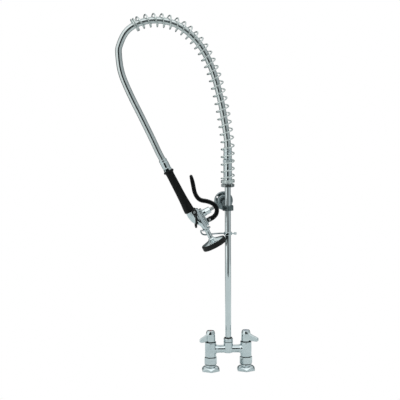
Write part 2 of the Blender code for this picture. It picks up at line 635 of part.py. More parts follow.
cap = hex_nut("bonnet_cap", 17.4, 32.1, 53.4, 4.9, in_valve(0, 0, PLUNGER_S, ALONG_X), phase=0, chamfer=1.0, sides=16)
boolean(cap, turned("cap_thread", rod_profile(7.2, 34.0, 24.0), 16, in_valve(0, 0, PLUNGER_S, ALONG_X), cutter=True), "UNION")
boolean(cap, turned("cap_through", rod_profile(4.9, 60.0, 20.0), 16, in_valve(0, 0, PLUNGER_S, ALONG_X), cutter=True))
finish(cap, "chrome")
plunger = turned(
    "valve_plunger",
    [(0, PLUNGER_T), (3.8, PLUNGER_T), (4.6, PLUNGER_T - 0.8), (4.6, 21.6), (6.4, 21.6), (6.4, 19.4), (2.2, 19.4), (2.2, 12.6), (0, 12.6)],
    16, in_valve(0, 0, PLUNGER_S, ALONG_X),
)
finish(plunger, "steel")
finish(turned("valve_seat_disc", ring_profile(6.4, 2.5, 19.1, 16.4), 16, in_valve(0, 0, PLUNGER_S, ALONG_X)), "rubber")
coil = []
for k in range(4 * 8 + 1):
    angle = 2 * math.pi * k / 8
    coil.append((3.6 + 7.6 * k / 32, 5.6 * math.cos(angle), 5.6 * math.sin(angle) + PLUNGER_S))
finish(meshed(wire("return_spring", [(t, y, s) for t, y, s in coil], 0.55, 0, VALVE_FRAME)), "steel")

# ------------------------------------------------------------------ trigger
centreline = smooth_path(
    [
        (39.5, 0, 44.4), (50.8, 0, 44.3), (61.6, 0, 40.3), (68.2, 0, 33.3), (71.6, 0, 24.0), (70.6, 0, 15.6), (66.4, 0, 7.6), (60.6, 0, 0.4),
        (54.0, 0, -5.8), (46.4, 0, -11.4), (39.9, 0, -18.8), (36.8, 0, -30.2), (37.5, 0, -43.2), (40.6, 0, -55.0), (43.9, 0, -66.0), (46.8, 0, -77.0), (49.0, 0, -86.4),
    ],
    26,
)
left_side, right_side = [], []
for i, point in enumerate(centreline):
    ahead, behind = centreline[min(i + 1, len(centreline) - 1)], centreline[max(i - 1, 0)]
    direction = (ahead - behind).normalized()
    normal = Vector((-direction.z, 0, direction.x))
    half = (6.0 + 0.6 * max(0.0, 1 - i / 3)) * (1.0 - 0.25 * max(0.0, (i - 21) / 4) ** 2)
    left_side.append(point + normal * half)
    right_side.append(point - normal * half)
tip_direction = (centreline[-1] - centreline[-2]).normalized()
tip = [centreline[-1] + tip_direction * 4.3 * math.sin(a) + (left_side[-1] - centreline[-1]) * math.cos(a) for a in (math.radians(45), math.radians(90), math.radians(135))]
root_direction = (centreline[0] - centreline[1]).normalized()
root_end = [centreline[0] + root_direction * 6.6 * math.sin(a) - (left_side[0] - centreline[0]) * math.cos(a) for a in (math.radians(45), math.radians(90), math.radians(135))]
ribbon = left_side + tip + right_side[::-1] + root_end
trigger = outline("trigger", [(p.x, p.z) for p in ribbon], 7.6, 2.6, VALVE_FRAME)
boolean(trigger, turned("trigger_pad", rod_profile(4.4, 74.0, PLUNGER_T + GAP), 14, in_valve(0, 0, PLUNGER_S, ALONG_X), cutter=True), "UNION")
boolean(trigger, block("fork_slot", (20.0, -4.0, 30.0), (50.0, 4.0, 60.0), VALVE_FRAME, cutter=True))
boolean(trigger, turned("trigger_pin_hole", rod_profile(2.3, 20.0, -20.0), 12, in_valve(TRIGGER_PIVOT[0], 0, TRIGGER_PIVOT[1], ALONG_Y), cutter=True))
finish(trigger, "coating")
finish(
    turned("trigger_pin", [(0, 8.9), (3.0, 8.9), (3.0, 7.9), (2.0, 7.9), (2.0, -7.9), (3.0, -7.9), (3.0, -8.9), (0, -8.9)], 14, in_valve(TRIGGER_PIVOT[0], 0, TRIGGER_PIVOT[1], ALONG_Y)),
    "steel",
)

# ------------------------------------------------------------------ hanging ring and its pin
finish(
    turned("ring_pin", [(0, 23.4), (3.4, 23.4), (3.4, 21.9), (2.2, 21.9), (2.2, -21.9), (3.4, -21.9), (3.4, -23.4), (0, -23.4)], 14, in_valve(RING_PIN[0], 0, RING_PIN[1], ALONG_Y)),
    "steel",
)
ring_at = VALVE_FRAME @ (Vector((RING_PIN[0], 0, RING_PIN[1])) * MM) / MM
bail = [(RING_OFFSET, -RING_HALF, -1.0), (RING_OFFSET, -RING_HALF, -14), (RING_OFFSET, -RING_HALF, -RING_DROP + 9)]
for k in range(1, 6):
    angle = math.radians(90 * k / 6)
    bail.append((RING_OFFSET, -RING_HALF + 9 * (1 - math.cos(angle)), -RING_DROP + 9 - 9 * math.sin(angle)))
bail.append((RING_OFFSET, -RING_HALF + 9, -RING_DROP))
bail += [(x, -y, z) for x, y, z in bail[::-1]]
ring = meshed(wire("hanging_ring", bail, RING_WIRE_R, 1, at(*ring_at)))
for sign in (-1, 1):
    loop = [(RING_OFFSET + RING_WIRE_R * math.cos(math.radians(45 * k)), sign * RING_HALF + RING_WIRE_R * math.sin(math.radians(45 * k))) for k in range(8)]
    eye = turned(f"ring_eye_{'back' if sign > 0 else 'front'}", loop[::-1], 16, at(*ring_at, ALONG_Y), cutter=True)
    boolean(ring, eye, "UNION")
boolean(ring, turned("ring_holes", rod_profile(2.5, 30, -30), 12, at(*ring_at, ALONG_Y), cutter=True))
finish(ring, "coating")

# ------------------------------------------------------------------ spray head
HEAD = in_valve(NECK_T, 0, 0)
neck = turned(
    "spray_neck",
    [
        (4.2, 88.6), (6.5, 88.6), (6.5, 70.4), (8.0, 67.2), (11.8, 66.0), (12.7, 65.2), (12.7, 63.0), (11.8, 62.3), (4.2, 62.3),
    ],
    16, HEAD,
)
finish(neck, "chrome")
dish = turned(
    "spray_dish",
    [
        (31.6, 112.0), (31.6, 106.4), (30.7, 104.4), (26.0, 102.2), (19.0, 100.2), (13.0, 98.4), (9.6, 96.4), (8.2, 93.8), (7.0, 93.0), (6.7, 88.9), (4.2, 88.9), (4.2, 95.6),
        (9.0, 100.4), (17.0, 102.4), (26.0, 104.4), (29.9, 107.2), (29.9, 112.0),
    ],
    20, HEAD,
)
boolean(dish, turned("dish_post", ring_profile(5.0, 2.6, 110.0, 95.0), 14, HEAD, cutter=True), "UNION")
for k in range(2):
    boolean(dish, prism(f"dish_port_{k + 1}", 1.5, 93.6, 102.0, 8, HEAD @ at(0, 0, 0, Matrix.Rotation(math.radians(90 + 180 * k), 3, "Z")) @ at(5.0, 0, 0), cutter=True))
finish(dish, "chrome")
bumper = turned(
    "rubber_bumper",
    [
        (34.0, 119.6), (BUMPER_R, 118.0), (BUMPER_R, 106.6), (34.2, 104.6), (32.0, 104.4), (31.9, 112.3), (31.9, 114.9), (31.0, 119.6),
    ],
    20, HEAD,
)
finish(bumper, "rubber")
face = turned("spray_plate", [(0, 114.6), (31.6, 114.6), (31.6, 112.4), (0, 112.4)], 20, HEAD)
boolean(face, prism("face_centre_hole", 2.9, 105.0, 120.0, 12, HEAD, cutter=True))
jets = bpy.data.meshes.new("jets")
shape = bmesh.new()
for ring_r, count in ((12.0, 4), (23.0, 8)):
    for k in range(count):
        angle = 2 * math.pi * k / count
        bmesh.ops.create_cone(
            shape, cap_ends=True, cap_tris=False, segments=5, radius1=1.5 * MM, radius2=1.5 * MM, depth=10 * MM,
            matrix=Matrix.Translation(Vector((ring_r * math.cos(angle), ring_r * math.sin(angle), 113.5)) * MM),
        )
shape.to_mesh(jets)
shape.free()
boolean(face, link("jets", jets, HEAD, cutter=True))
finish(face, "steel")
finish(
    turned("face_screw", [(0, 117.4), (4.6, 116.9), (5.4, 115.9), (5.4, 114.9), (2.3, 114.9), (2.3, 100.0), (0, 100.0)], 16, HEAD),
    "steel",
)

# ------------------------------------------------------------------ joints: origins and smooth shading
TRIGGER_AXIS = VALVE_FRAME @ (Vector((TRIGGER_PIVOT[0], 0, TRIGGER_PIVOT[1])) * MM) / MM
PLUNGER_AXIS = VALVE_FRAME @ (Vector((PLUNGER_T, 0, PLUNGER_S)) * MM) / MM
# name: point on the axis, the axis it hangs from, and the pieces that move with it
JOINT_AXES = {
    "left_handle_axis": (Vector((-HALF, 0, HUB_Z0)), None, ["left_lever_handle", "left_stem", "left_handle_screw", "left_index_button"]),
    "right_handle_axis": (Vector((HALF, 0, HUB_Z0)), None, ["right_lever_handle", "right_stem", "right_handle_screw", "right_index_button"]),
    "hook_axis": (Vector((0, 0, COLLAR_Z)), None, ["hook_collar", "hook_wire"]),
    "thumb_screw_axis": (Vector((20, 0, COLLAR_Z)), "hook_axis", ["thumb_screw"]),
    "hose_swing_axis": (Vector((0, 0, COUPLING_Z1)), None, ["upper_ferrule", "overhead_spring", "hose_upper", "hose_bend"]),
    "hose_pull_axis": (
        HOSE_PIVOT, "hose_swing_axis",
        [
            "hose_lower", "lower_ferrule", "grip_nut", "grip_tube", "grip", "valve_body", "bonnet_plate", "bonnet_cap", "return_spring",
            "trigger_pin", "ring_pin", "spray_neck", "spray_dish", "rubber_bumper", "spray_plate", "face_screw",
        ],
    ),
    "trigger_axis": (TRIGGER_AXIS, "hose_pull_axis", ["trigger"]),
    "plunger_axis": (PLUNGER_AXIS, "hose_pull_axis", ["valve_plunger", "valve_seat_disc"]),
    "ring_axis": (ring_at, "hose_pull_axis", ["hanging_ring"]),
}
for axis_name, (where, held_by, names) in JOINT_AXES.items():
    empty = bpy.data.objects.new(axis_name, None)
    empty.empty_display_size = 0.02
    parts.objects.link(empty)
    empty.location = where * MM
    if held_by:
        above = bpy.data.objects[held_by]
        empty.parent = above
        empty.matrix_parent_inverse = Matrix.Translation(-JOINT_AXES[held_by][0] * MM)
    for child in names:
        child = bpy.data.objects[child]
        child.parent = empty
        child.matrix_parent_inverse = Matrix.Translation(-where * MM)

for obj in parts.objects:
    if obj.type == "MESH" and obj.data.polygons:
        obj.data.shade_smooth()
        obj.data.set_sharp_from_angle(angle=math.radians(35))
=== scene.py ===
"""Looks of the pre-rinse faucet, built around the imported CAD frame. Millimetres inside, metres in the meshes."""

import math

import bmesh
import bpy
import numpy as np
from mathutils import Matrix, Vector


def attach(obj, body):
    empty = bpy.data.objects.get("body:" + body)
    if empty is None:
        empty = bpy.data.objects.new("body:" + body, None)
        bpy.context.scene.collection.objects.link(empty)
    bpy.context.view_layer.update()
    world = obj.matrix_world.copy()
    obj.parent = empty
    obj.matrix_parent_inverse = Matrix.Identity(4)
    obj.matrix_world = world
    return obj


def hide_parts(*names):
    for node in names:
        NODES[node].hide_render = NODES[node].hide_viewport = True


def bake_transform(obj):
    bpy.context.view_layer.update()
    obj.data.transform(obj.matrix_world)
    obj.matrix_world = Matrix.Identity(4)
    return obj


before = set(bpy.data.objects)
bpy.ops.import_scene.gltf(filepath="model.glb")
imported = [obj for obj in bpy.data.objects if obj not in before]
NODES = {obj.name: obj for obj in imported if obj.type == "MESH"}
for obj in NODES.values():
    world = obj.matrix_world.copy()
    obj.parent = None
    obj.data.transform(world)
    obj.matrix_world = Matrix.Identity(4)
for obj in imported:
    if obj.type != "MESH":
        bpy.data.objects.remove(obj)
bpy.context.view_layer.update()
scene = bpy.context.scene
MM = 0.001

# ---------------------------------------------------------------- camera
AZ, EL, ROLL = math.radians(-3.5), math.radians(7.5), math.radians(0.35)
AIM, DISTANCE, FOCAL_PX = Vector((-0.07866, 0.0, 0.49474)), 3.55, 1258.0
back = Vector((math.sin(AZ) * math.cos(EL), -math.cos(AZ) * math.cos(EL), math.sin(EL)))
right = (-back).cross(Vector((0, 0, 1))).normalized()
up = right.cross(-back)
right, up = right * math.cos(ROLL) - up * math.sin(ROLL), up * math.cos(ROLL) + right * math.sin(ROLL)
lens = bpy.data.cameras.new("camera")
lens.sensor_width = 36.0
lens.lens = FOCAL_PX / 400.0 * 36.0
lens.clip_start, lens.clip_end = 0.05, 60.0
camera = bpy.data.objects.new("camera", lens)
scene.collection.objects.link(camera)
camera.matrix_world = Matrix((
    (right.x, up.x, back.x, 0), (right.y, up.y, back.y, 0), (right.z, up.z, back.z, 0), (0, 0, 0, 1),
))
camera.location = AIM + back * DISTANCE
scene.camera = camera
scene.view_settings.view_transform = "Standard"
scene.view_settings.look = "None"

# ---------------------------------------------------------------- dimensions shared with the CAD
GAP = 0.3
HALF = 50.8
HOSE_R = 9.25
SEAT_Z0, SEAT_Z1 = 531.0, 539.7
BODY_Z1, COUPLING_Z1, FERRULE_Z1 = 599.2, 608.8, 642.4
SPRING_MEAN_R, SPRING_WIRE_R, SPRING_PITCH = 17.8, 2.0, 21.0
BRACKET_Z, WALL_Y, ROD_R = 471.3, 152.0, 8.5
ROD_Z = BRACKET_Z + 1.0
COLLAR_Z, COLLAR_H, COLLAR_R = 397.8, 8.6, 11.4
RISER_R = 8.55
BEND_LENGTH = 57.0
HOSE_PIVOT = Vector((-301.9, -31.0, 905.0))
HOSE_ROUTE = [
    (0, 0, 541), (0, 0, 600), (0, 0, 630), (0, 0, 646), (-1.0, -0.2, 664), (-5.0, -1, 694), (-11.5, -2, 735), (-21, -4, 784),
    (-41, -8, 857), (-75, -12, 927), (-126, -18, 977), (-183, -23, 997), (-238, -27, 992.5),
    (-278.5, -29, 969), (-299, -30, 930), (-301.9, -31, 905), (-295, -32, 854.5), (-273, -33, 798.5),
    (-244.5, -34, 739.5), (-216, -34, 680),
]
VALVE_AT = Vector((-109.5, -34.0, 466.3))
TILT = math.radians(27)
GRIP_TOP, GRIP_NUT_TOP, HAND_FERRULE_TOP = -131.0, -138.0, -165.5
PLUNGER_S, PLUNGER_T = 20.5, 64.2
PIVOT_T, PIVOT_S = 39.5, 44.4
NECK_T = 18.8
BUMPER_R = 35.6
RING_T, RING_S = 11.0, 4.0
RING_DROP, RING_HALF, RING_WIRE_R, RING_OFFSET = 43.5, 18.6, 2.85, 5.2

ALONG_Y = Matrix.Rotation(math.radians(-90), 4, "X")
ALONG_X = Matrix.Rotation(math.radians(90), 4, "Y")
VALVE = Matrix.Translation(VALVE_AT) @ Matrix((
    (math.cos(TILT), 0, math.sin(TILT), 0),
    (0, -1, 0, 0),
    (math.sin(TILT), 0, -math.cos(TILT), 0),
    (0, 0, 0, 1),
))


def at(x, y, z, rotation=None):
    place = Matrix.Translation(Vector((x, y, z)))
    return place @ rotation if rotation is not None else place


def in_valve(x=0.0, y=0.0, z=0.0, rotation=None):
    return VALVE @ at(x, y, z, rotation)


# ---------------------------------------------------------------- materials
def new_material(name):
    made = bpy.data.materials.new(name)
    made.use_nodes = True
    tree = made.node_tree
    shader = tree.nodes["Principled BSDF"]
    return made, tree, shader


def node(tree, kind, **settings):
    made = tree.nodes.new(kind)
    for key, value in settings.items():
        if key.startswith("in_"):
            made.inputs[key[3:].replace("_", " ")].default_value = value
        else:
            setattr(made, key, value)
    return made


def noise(tree, coords, scale, detail=3.0, roughness=0.55, stretch=None, rotation=None):
    """A noise texture on object coordinates, in metres, so scale is cycles per metre."""
    source = coords
    if stretch or rotation:
        mapping = tree.nodes.new("ShaderNodeMapping")
        mapping.inputs["Scale"].default_value = stretch or (1, 1, 1)
        mapping.inputs["Rotation"].default_value = rotation or (0, 0, 0)
        tree.links.new(coords, mapping.inputs["Vector"])
        source = mapping.outputs["Vector"]
    made = tree.nodes.new("ShaderNodeTexNoise")
    made.inputs["Scale"].default_value = scale
    made.inputs["Detail"].default_value = detail
    made.inputs["Roughness"].default_value = roughness
    tree.links.new(source, made.inputs["Vector"])
    return made.outputs["Fac"]


def ramp(tree, source, stops):
    made = tree.nodes.new("ShaderNodeValToRGB")
    elements = made.color_ramp.elements
    while len(elements) < len(stops):
        elements.new(0.5)
    for element, (position, colour) in zip(elements, stops):
        element.position = position
        element.color = (*colour, 1.0) if len(colour) == 3 else colour
    tree.links.new(source, made.inputs["Fac"])
    return made.outputs["Color"]


def span(tree, source, low, high, from_low=0.3, from_high=0.7):
    made = tree.nodes.new("ShaderNodeMapRange")
    made.inputs["From Min"].default_value = from_low
    made.inputs["From Max"].default_value = from_high
    made.inputs["To Min"].default_value = low
    made.inputs["To Max"].default_value = high
    tree.links.new(source, made.inputs["Value"])
    return made.outputs["Result"]


def mixed(tree, factor, a, b):
    made = tree.nodes.new("ShaderNodeMix")
    made.data_type = "RGBA"
    for socket, value in ((made.inputs[0], factor), (made.inputs[6], a), (made.inputs[7], b)):
        if hasattr(value, "is_linked"):
            tree.links.new(value, socket)
        elif isinstance(value, (int, float)):
            socket.default_value = value
        else:
            socket.default_value = (*value, 1.0)
    return made.outputs[2]


def add(tree, a, b, weight=1.0):
    made = tree.nodes.new("ShaderNodeMath")
    made.operation = "MULTIPLY_ADD"
    tree.links.new(b, made.inputs[0])
    made.inputs[1].default_value = weight
    tree.links.new(a, made.inputs[2])
    return made.outputs[0]


def bump(tree, shader, height, distance, strength=1.0):
    made = tree.nodes.new("ShaderNodeBump")
    made.inputs["Strength"].default_value = strength
    made.inputs["Distance"].default_value = distance
    tree.links.new(height, made.inputs["Height"])
    tree.links.new(made.outputs["Normal"], shader.inputs["Normal"])


def joint_shade_ring(tree, coords, tone, height, half, axis="Z"):
    """Paints shade into a metal's colour: a narrow dark ring at this height, standing partly for dirt in the joint and
    partly for the shadow that the joint holds.
    """
    apart = tree.nodes.new("ShaderNodeSeparateXYZ")
    tree.links.new(coords, apart.inputs[0])
    away = node(tree, "ShaderNodeMath", operation="SUBTRACT")
    tree.links.new(apart.outputs[axis], away.inputs[0])
    away.inputs[1].default_value = height * MM
    size = node(tree, "ShaderNodeMath", operation="ABSOLUTE")
    tree.links.new(away.outputs[0], size.inputs[0])
    joint_shade_mask = tree.nodes.new("ShaderNodeMapRange")
    joint_shade_mask.interpolation_type = "SMOOTHSTEP"
    joint_shade_mask.inputs["From Min"].default_value = 0.45 * half * MM
    joint_shade_mask.inputs["From Max"].default_value = half * MM
    joint_shade_mask.inputs["To Min"].default_value = 0.92
    joint_shade_mask.inputs["To Max"].default_value = 0.0
    tree.links.new(size.outputs[0], joint_shade_mask.inputs["Value"])
    return mixed(tree, joint_shade_mask.outputs["Result"], tone, (0.045, 0.055, 0.055))


def metal(name, bright, dull, rough, peel=0.0, brushed=None, marks=0.35, grime=None, joints=()):
    """A metal with slow tone drift, fine scratches or brushing, and for castings a faint orange peel."""
    made, tree, shader = new_material(name)
    coords = tree.nodes.new("ShaderNodeTexCoord").outputs["Object"]
    shader.inputs["Metallic"].default_value = 1.0
    slow = noise(tree, coords, 38.0, 4.0, 0.6)
    tone = mixed(tree, span(tree, slow, 0.0, 1.0, 0.35, 0.68), bright, dull)
    scratch_a = noise(tree, coords, 420.0, 2.0, 0.5, stretch=(1.0, 9.0, 0.6), rotation=(0.4, 0.2, 0.9))
    scratch_b = noise(tree, coords, 520.0, 2.0, 0.5, stretch=(8.0, 0.7, 1.0), rotation=(1.1, 0.5, 0.3))
    spots = noise(tree, coords, 900.0, 2.0, 0.5)
    if grime:
        film = span(tree, noise(tree, coords, 150.0, 5.0, 0.65), 0.0, 1.0, 0.56, 0.74)
        tone = mixed(tree, film, tone, grime)
    # painted shade: each joint ring darkens the colour, partly for dirt and partly for the shadow in the joint
    for joint in joints:
        tone = joint_shade_ring(tree, coords, tone, *joint)
    tree.links.new(tone, shader.inputs["Base Color"])
    wear = add(tree, span(tree, scratch_a, 0.0, marks * 0.10, 0.52, 0.78), span(tree, scratch_b, 0.0, marks * 0.10, 0.55, 0.80))
    level = add(tree, wear, span(tree, slow, rough[0], rough[1], 0.3, 0.7))
    tree.links.new(level, shader.inputs["Roughness"])
    height = span(tree, spots, 0.0, 0.12, 0.2, 0.8)
    if peel:
        height = add(tree, height, noise(tree, coords, 210.0, 3.0, 0.5), peel)
    if brushed:
        lines = noise(tree, coords, brushed[0], 3.0, 0.6, stretch=brushed[1])
        height = add(tree, height, lines, 0.8)
    bump(tree, shader, height, 0.00006, 0.5)
    return made


def black(name, colour, lighter, rough, grain, grain_scale, depth, shine=0.3, coat=0.0):
    """A black rubber, vinyl or plastic: fine moulded grain, uneven sheen and pale scuffs."""
    made, tree, shader = new_material(name)
    coords = tree.nodes.new("ShaderNodeTexCoord").outputs["Object"]
    slow = noise(tree, coords, 60.0, 4.0, 0.6)
    scuff = noise(tree, coords, 260.0, 5.0, 0.7, stretch=(1, 1, 0.35))
    base = mixed(tree, span(tree, slow, 0.0, 1.0, 0.3, 0.72), colour, lighter)
    base = mixed(tree, span(tree, scuff, 0.0, 0.55, 0.60, 0.80), base, tuple(min(1.0, 3.2 * c + 0.01) for c in lighter))
    tree.links.new(base, shader.inputs["Base Color"])
    fine = noise(tree, coords, grain_scale, 2.0, 0.5)
    level = add(tree, span(tree, slow, rough[0], rough[1], 0.3, 0.7), span(tree, fine, -0.03, 0.05, 0.3, 0.7))
    tree.links.new(level, shader.inputs["Roughness"])
    height = span(tree, fine, 0.0, grain, 0.25, 0.75)
    height = add(tree, height, noise(tree, coords, grain_scale * 0.22, 3.0, 0.6), 0.6 * grain)
    bump(tree, shader, height, depth, 0.7)
    shader.inputs["Specular IOR Level"].default_value = shine
    if coat:
        shader.inputs["Coat Weight"].default_value = coat
        shader.inputs["Coat Roughness"].default_value = 0.18
    return made


CHROME = metal("chrome", (0.655, 0.715, 0.725), (0.575, 0.645, 0.665), (0.045, 0.10), peel=0.25)
CAST = metal("cast_chrome", (0.645, 0.71, 0.725), (0.56, 0.635, 0.655), (0.10, 0.20), peel=0.9)
TUBE = metal("tube_chrome", (0.665, 0.72, 0.73), (0.60, 0.66, 0.675), (0.02, 0.05), peel=0.0, brushed=(700.0, (1.0, 1.0, 0.02)))
# the joint rings on these metals are painted shade at the hub bottoms, barrel ends, nut ends and bonnet face, partly
# dirt
HANDLE = metal("handle_chrome", (0.66, 0.725, 0.735), (0.58, 0.65, 0.665), (0.08, 0.16), peel=0.6, joints=[(85.6, 1.5)])
BASE = metal("base_chrome", (0.645, 0.71, 0.725), (0.56, 0.635, 0.655), (0.10, 0.20), peel=0.9, joints=[(84.3, 1.4), (40.9, 1.2)])
UNION = metal("union_chrome", (0.655, 0.715, 0.725), (0.575, 0.645, 0.665), (0.045, 0.10), peel=0.25, joints=[(40.0, 1.5), (18.6, 2.0)])
WALLMETAL = metal("bracket_chrome", (0.25, 0.295, 0.305), (0.15, 0.18, 0.19), (0.12, 0.24), peel=0.8, grime=(0.13, 0.16, 0.165))
BODY = metal("valve_cast_chrome", (0.645, 0.71, 0.725), (0.56, 0.635, 0.655), (0.10, 0.20), peel=0.9, joints=[(24.7, 1.5, "X")])
PLATE = metal("bonnet_cast_chrome", (0.665, 0.73, 0.74), (0.59, 0.66, 0.675), (0.12, 0.22), peel=0.9, joints=[(25.0, 1.5, "X")])
HOOKWIRE = metal("wire_chrome", (0.36, 0.41, 0.42), (0.27, 0.31, 0.32), (0.05, 0.12))
# the clamp's dark colour is partly a duller casting and partly painted shade on the clamp
CLAMP = metal("clamp_casting", (0.15, 0.185, 0.19), (0.085, 0.11, 0.115), (0.30, 0.46), peel=1.6, grime=(0.26, 0.30, 0.30))
HOSE = metal("hose_steel", (0.62, 0.665, 0.665), (0.54, 0.585, 0.585), (0.10, 0.16), brushed=(900.0, (1.0, 1.0, 0.2)), marks=0.5)
WIRE = metal("spring_wire", (0.70, 0.745, 0.735), (0.60, 0.65, 0.64), (0.14, 0.24), brushed=(1100.0, (0.3, 0.3, 1.0)), marks=0.6)
SMALL = metal("machined_steel", (0.60, 0.63, 0.63), (0.48, 0.51, 0.51), (0.16, 0.28), brushed=(1300.0, (1.0, 1.0, 0.3)), marks=0.6)
FACE = metal("stamped_steel", (0.54, 0.57, 0.57), (0.44, 0.47, 0.47), (0.20, 0.32), brushed=(800.0, (1.0, 0.06, 1.0)), marks=0.7)
BRASS = metal("machined_brass", (0.66, 0.50, 0.20), (0.50, 0.36, 0.13), (0.18, 0.32), brushed=(1200.0, (1.0, 1.0, 0.3)), grime=(0.30, 0.20, 0.08))
GRIP = black("grip_rubber", (0.0040, 0.0046, 0.0046), (0.0062, 0.0070, 0.0070), (0.36, 0.52), 1.0, 2600.0, 0.00010, shine=0.16)
BUMPER = black("bumper_rubber", (0.0060, 0.0068, 0.0068), (0.0090, 0.0098, 0.0098), (0.42, 0.58), 1.0, 2200.0, 0.00012, shine=0.22)
COATING = black("vinyl_coating", (0.0030, 0.0030, 0.0034), (0.0046, 0.0046, 0.0052), (0.22, 0.32), 0.5, 900.0, 0.00008, shine=0.32)
SEAL = black("seal_rubber", (0.008, 0.008, 0.008), (0.012, 0.012, 0.012), (0.45, 0.6), 1.0, 2400.0, 0.0001)


def button_material(name, colour, deep):
    made, tree, shader = new_material(name)
    coords = tree.nodes.new("ShaderNodeTexCoord").outputs["Object"]
    slow = noise(tree, coords, 300.0, 3.0, 0.5)
    tree.links.new(mixed(tree, span(tree, slow, 0.0, 1.0), colour, deep), shader.inputs["Base Color"])
    tree.links.new(span(tree, noise(tree, coords, 900.0), 0.20, 0.34), shader.inputs["Roughness"])
    bump(tree, shader, noise(tree, coords, 1500.0), 0.00004, 0.4)
    return made


HOT = button_material("index_hot", (0.36, 0.018, 0.016), (0.26, 0.012, 0.012))
COLD = button_material("index_cold", (0.014, 0.045, 0.27), (0.010, 0.030, 0.19))


# ---------------------------------------------------------------- mesh helpers
def finish_mesh(name, verts, faces, look, matrix=None, sharp=None):
    """Verts in local millimetres, placed by matrix, become a piece in metres whose object sits at the origin."""
    points = np.asarray(verts, float)
    if matrix is not None:
        m = np.array(matrix)
        points = points @ m[:3, :3].T + m[:3, 3]
        if np.linalg.det(m[:3, :3]) < 0:
            faces = [tuple(reversed(f)) for f in faces]
    mesh = bpy.data.meshes.new(name)
    mesh.from_pydata((points * MM).tolist(), [], [tuple(int(i) for i in f) for f in faces])
    mesh.validate()
    mesh.update()
    if sharp is not None:
        mesh.shade_smooth()
        mesh.set_sharp_from_angle(angle=math.radians(sharp))
    else:
        mesh.shade_smooth()
    mesh.materials.append(look)
    obj = bpy.data.objects.new(name, mesh)
    scene.collection.objects.link(obj)
    return obj


def rounded(points, closed=False, steps=5):
    """A polyline (a, b[, fillet]) with its corners rounded by arcs."""
    count = len(points)
    made = []
    for i, point in enumerate(points):
        a, b = point[0], point[1]
        radius = point[2] if len(point) > 2 else 0.0
        if not radius or (not closed and i in (0, count - 1)):
            made.append((a, b))
            continue
        p = np.array((a, b), float)
        before, after = np.array(points[i - 1][:2], float), np.array(points[(i + 1) % count][:2], float)
        u, v = before - p, after - p
        lu, lv = np.linalg.norm(u), np.linalg.norm(v)
        u, v = u / lu, v / lv
        angle = math.acos(max(-1.0, min(1.0, float(u @ v))))
        if angle > math.pi - 0.02:
            made.append((a, b))
            continue
        cut = min(radius / math.tan(angle / 2), 0.48 * lu, 0.48 * lv)
        radius = cut * math.tan(angle / 2)
        centre = p + (u + v) / np.linalg.norm(u + v) * (radius / math.sin(angle / 2))
        start, end = p + u * cut - centre, p + v * cut - centre
        sweep = math.atan2(start[0] * end[1] - start[1] * end[0], float(start @ end))
        for k in range(steps + 1):
            t = sweep * k / steps
            c, s = math.cos(t), math.sin(t)
            made.append((centre[0] + c * start[0] - s * start[1], centre[1] + s * start[0] + c * start[1]))
    return made


def spin(profile, segments, radius_at=None):
    """Verts and faces of a profile [(r, z)] turned about Z. It closes on itself unless it starts and ends on the axis."""
    profile = [(float(r), float(z)) for r, z in profile]
    on_axis = profile[0][0] < 1e-9 and profile[-1][0] < 1e-9
    rows = profile[1:-1] if on_axis else profile
    verts, faces = [], []
    for r, z in rows:
        for k in range(segments):
            angle = 2 * math.pi * k / segments
            rr = radius_at(r, z, angle) if radius_at else r
            verts.append((rr * math.cos(angle), rr * math.sin(angle), z))
    n = len(rows)
    for i in range(n - 1 if on_axis else n):
        j = (i + 1) % n
        for k in range(segments):
            m = (k + 1) % segments
            faces.append((i * segments + k, j * segments + k, j * segments + m, i * segments + m))
    if on_axis:
        top, bottom = len(verts), len(verts) + 1
        verts += [(0, 0, profile[0][1]), (0, 0, profile[-1][1])]
        for k in range(segments):
            m = (k + 1) % segments
            faces.append((top, k, m))
            faces.append((bottom, (n - 1) * segments + m, (n - 1) * segments + k))
    # Faces must look outwards: the signed volume tells.
    v = np.array(verts)
    volume = 0.0
    for f in faces:
        for t in range(1, len(f) - 1):
            volume += float(np.dot(v[f[0]], np.cross(v[f[t]], v[f[t + 1]])))
    if volume < 0:
        faces = [tuple(reversed(f)) for f in faces]
    return verts, faces


def lathe(name, points, look, matrix=None, segments=96, closed=True, sharp=40, radius_at=None, steps=5):
    on_axis = points[0][0] == 0 and points[-1][0] == 0
    verts, faces = spin(rounded(points, closed=not on_axis, steps=steps), segments, radius_at)
    return finish_mesh(name, verts, faces, look, matrix, sharp)


def hexagon(af, angle, corner=0.0):
    a = (angle + math.pi / 6) % (math.pi / 3) - math.pi / 6
    flat = af / 2 / math.cos(a)
    if corner:
        limit = af / math.sqrt(3) - corner
        k = 0.25
        h = max(0.0, min(1.0, 0.5 + 0.5 * (limit - flat) / k))
        return limit * (1 - h) + flat * h - k * h * (1 - h)
    return flat


